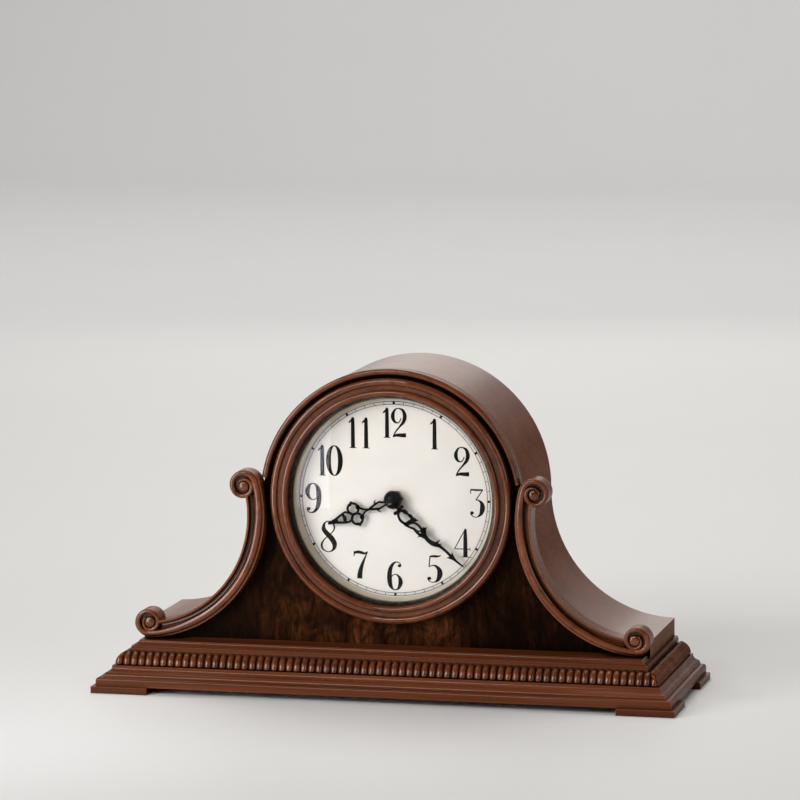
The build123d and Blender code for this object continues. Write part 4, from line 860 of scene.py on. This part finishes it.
minuteHand = dict(minute=22, hub=5.2, bold=1.22, strokes=[
    [(0.8, 3.0, 2.6), (2.0, 6.5, 2.3), (2.7, 10.2, 2.0)],
    [(-0.8, 8.9, 2.4), (0.6, 8.9, 1.6), (2.8, 8.8, 1.8), (5.2, 8.7, 1.6), (6.8, 8.5, 2.4)],
    [(2.9, 9.4, 1.7), (6.2, 11.3, 1.6), (8.0, 15.3, 1.7), (7.7, 18.9, 1.8), (6.9, 21.6, 1.8)],
    [(1.8, 9.8, 1.0), (0.6, 12.2, 2.4), (0.2, 14.2, 2.6), (0.2, 16.4, 1.1)],
    [(0.2, 16.1, 1.1), (-0.1, 18.7, 2.4), (0.2, 21.6, 1.5)],
    [(7.6, 20.2, 1.9), (4.2, 21.5, 2.8), (0.6, 22.8, 2.9), (-0.9, 23.7, 1.4)],
    [(0.4, 22.3, 1.6), (-1.9, 21.8, 0.3)],
    [(0.1, 23.8, 1.7), (-2.0, 25.7, 0.3)],
    [(7.0, 21.5, 1.6), (9.1, 21.0, 0.4)],
    [(7.6, 21.6, 1.5), (6.8, 24.6, 1.4), (5.4, 27.7, 1.5), (5.8, 29.8, 1.6), (5.9, 33.1, 1.7),
     (5.0, 35.8, 2.1)],
    [(5.7, 22.0, 1.5), (2.3, 24.0, 1.5), (0.9, 27.6, 1.4), (1.2, 31.4, 1.6), (2.2, 34.2, 2.3)],
    [(5.4, 27.9, 1.2), (4.8, 30.6, 1.0), (3.9, 32.2, 1.0), (2.6, 32.6, 1.2)],
    [(-0.4, 33.2, 1.7), (1.8, 34.8, 3.5), (4.0, 36.4, 3.3), (5.2, 37.2, 1.9)],
    [(0.4, 34.2, 1.7), (-0.7, 32.0, 0.3)],
    [(0.0, 34.6, 1.9), (-2.8, 34.2, 0.3)],
    [(4.6, 35.4, 1.7), (8.5, 34.2, 0.3)],
    [(5.0, 36.4, 1.5), (7.0, 35.4, 0.3)],
    [(1.6, 34.8, 2.5), (3.4, 37.4, 2.9), (4.3, 41.3, 2.6), (4.0, 45.2, 3.0), (2.9, 48.1, 3.1),
     (1.5, 51.2, 2.1)],
    [(1.9, 48.4, 2.1), (-2.8, 48.6, 0.3)],
    [(1.4, 50.4, 1.9), (-0.9, 51.7, 0.3)],
    [(1.6, 50.4, 2.0), (0.95, 56.6, 1.7), (1.0, 63.2, 1.7)],
    [(1.05, 69.5, 1.3), (0.7, 73.6, 1.1), (0.2, 76.6, 0.8)],
], rings=[], balls=[],
    arrow=[(-2.1, 62.0), (1.1, 63.6), (4.5, 61.8), (2.4, 66.5), (1.55, 70.5), (0.55, 70.5), (-0.2, 66.5)])
handCut = dict(ringSides=20, hubSides=40, sharp=30)


def handPiece(name, spec, node, body, turn):
    lo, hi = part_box(node)
    verts, faces = [], []
    put = turnedPut(turn)
    for stroke in spec["strokes"]:
        bold = [(x, z, width * spec["bold"]) for x, z, width in stroke]
        strokePlate(verts, faces, bold, lo.y, hi.y, put, True)
    spokes = [2 * pi * i / handCut["ringSides"] for i in range(handCut["ringSides"] + 1)]
    for x, z, radius, width in spec["rings"]:
        loop = [(x + radius * sin(spoke), z + radius * cos(spoke), width) for spoke in spokes]
        strokePlate(verts, faces, loop, lo.y, hi.y, put)
    for x, z, radius in spec["balls"]:
        discPlate(verts, faces, x, z, radius, lo.y, hi.y, put)
    if "arrow" in spec:
        polyPlate(verts, faces, spec["arrow"], lo.y, hi.y, put)
    discPlate(verts, faces, 0, 0, spec["hub"], lo.y, hi.y, put, handCut["hubSides"])
    piece = addPiece(name, verts, faces, "handBlack", body, handCut["sharp"])
    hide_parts(node)


hourTurn = hourHand["hour"] * 30 + hourHand["minute"] / 2 - hourHand["lag"]
handPiece("pierced_hour_hand", hourHand, "hour_hand", "hour", hourTurn)
handPiece("pierced_minute_hand", minuteHand, "minute_hand", "minute", minuteHand["minute"] * 6)
print("hands cut")

# smooth the turned and bent CAD surfaces, round the board edges a little
boardEdge = dict(sharp=30, segments=2, limit=35, widths={
    "plinth": 0.5, "cap_board": 0.4, "front_rail": 0.25, **{foot: 0.6 for foot in feet}})
for node in nodes.values():
    node.data.shade_smooth()
    node.data.set_sharp_from_angle(angle=radians(boardEdge["sharp"]))
for name, width in boardEdge["widths"].items():
    edge = nodes[name].modifiers.new("edge", "BEVEL")
    edge.width = width * mm
    edge.segments = boardEdge["segments"]
    edge.limit_method = "ANGLE"
    edge.angle_limit = radians(boardEdge["limit"])
    edge.harden_normals = False

# floor and light: a sweep that bends up far behind, in metres
stage = dict(floor=(0.715, 0.70, 0.68), drift=0.985, driftNoise=(3, 3), driftSpots=(0.3, 0.7), rough=0.55,
             shine=0.2, size=14.0, back=4.4, bend=0.8, bendSteps=12, wall=4.5, world=(0.95, 0.97, 1.0),
             lighting=0.09)


def buildStage():
    half, back, bend = stage["size"] / 2, stage["back"], stage["bend"]
    verts, faces = [], []
    profile = [(-half, 0.0)]
    for step in range(stage["bendSteps"] + 1):
        swing = pi / 2 * step / stage["bendSteps"]
        profile.append((back + bend * sin(swing), bend - bend * cos(swing)))
    profile.append((back + bend, stage["wall"]))
    for y, z in profile:
        verts += [(-half, y, z), (half, y, z)]
    for row in range(len(profile) - 1):
        faces.append((row * 2, row * 2 + 1, row * 2 + 3, row * 2 + 2))
    mesh = bpy.data.meshes.new("sweep")
    mesh.from_pydata(verts, [], faces)
    mesh.shade_smooth()
    floor = addObject("sweep", mesh)
    mat, tree, bsdf = newMaterial("paleFloor")
    low = tuple(channel * stage["drift"] for channel in stage["floor"])
    drift = ramp(tree, noise(tree, *stage["driftNoise"]), stage["driftSpots"], (low, stage["floor"]))
    setInputs(tree, bsdf, {"Base Color": drift, "Roughness": stage["rough"],
                           "Specular IOR Level": stage["shine"]})
    mesh.materials.append(mat)
    world = bpy.data.worlds.new("studio")
    world.use_nodes = True
    setInputs(world.node_tree, world.node_tree.nodes["Background"],
              {"Color": stage["world"], "Strength": stage["lighting"]})
    bpy.context.scene.world = world


lampAim = (0, 0, 0.12)
lamps = {  # place in metres, size, watts, colour
    "windowLeft": dict(spot=(-1.9, -1.6, 1.35), size=(0.9, 1.3), watts=34, colour=(0.97, 0.98, 1.0)),
    "keyFront": dict(spot=(-0.9, -2.4, 1.65), size=(1.0, 0.6), watts=20, colour=(1.0, 0.98, 0.95)),
    "cardLeft": dict(spot=(-0.50, -0.56, 0.165), size=(0.26, 0.32), watts=0.45, colour=(0.92, 0.93, 1.0),
                     spread=75),
    "softTop": dict(spot=(0.0, 0.5, 1.9), size=(1.6, 0.8), watts=13, colour=(1.0, 0.99, 0.97)),
    "sheenBack": dict(spot=(-0.45, 2.3, 0.72), size=(1.0, 0.45), watts=1.9, colour=(1.0, 0.95, 0.89)),
    "fillRight": dict(spot=(1.8, -1.0, 0.8), size=(0.8, 1.1), watts=7, colour=(1.0, 0.96, 0.91)),
    "wallWash": dict(spot=(-0.6, 2.6, 3.4), size=(4.5, 2.2), watts=112, colour=(0.98, 0.99, 1.0),
                     aim=(-0.6, 4.1, 0.0)),
}


def addLamps():
    for name, spec in lamps.items():
        light = bpy.data.lights.new(name, "AREA")
        light.shape = "RECTANGLE"
        light.size, light.size_y = spec["size"]
        light.energy = spec["watts"]
        light.color = spec["colour"]
        light.spread = radians(spec.get("spread", 180))
        lamp = addObject(name, light)
        lamp.location = spec["spot"]
        way = Vector(spec.get("aim", lampAim)) - Vector(spec["spot"])
        lamp.rotation_euler = way.to_track_quat("-Z", "Y").to_euler()
        lamp.visible_camera = False


# camera at the photograph's angle: degrees round from the front, up, and leaning
view = dict(round=14.23, up=7.81, lean=-0.50, away=3.448, aim=(0.00042, 0.0, 0.2299), focal=4366, frame=800,
            sensor=36, far=60)


def addCamera():
    around, rise, lean = radians(view["round"]), radians(view["up"]), radians(view["lean"])
    back = Vector((sin(around) * cos(rise), -cos(around) * cos(rise), sin(rise)))
    right = Vector((cos(around), sin(around), 0))
    up = back.cross(right)
    leanRight = right * cos(lean) + up * sin(lean)
    leanUp = up * cos(lean) - right * sin(lean)
    lens = bpy.data.cameras.new("photoCamera")
    lens.sensor_width = view["sensor"]
    lens.lens = view["focal"] / view["frame"] * view["sensor"]
    lens.clip_end = view["far"]
    camera = addObject("photoCamera", lens)
    turn = Matrix((leanRight, leanUp, back)).transposed().to_4x4()
    camera.matrix_world = Matrix.Translation(Vector(view["aim"]) + back * view["away"]) @ turn
    bpy.context.scene.camera = camera


buildStage()
addLamps()
addCamera()
bpy.context.scene.view_settings.view_transform = "Standard"
print("stage, lamps and camera set")
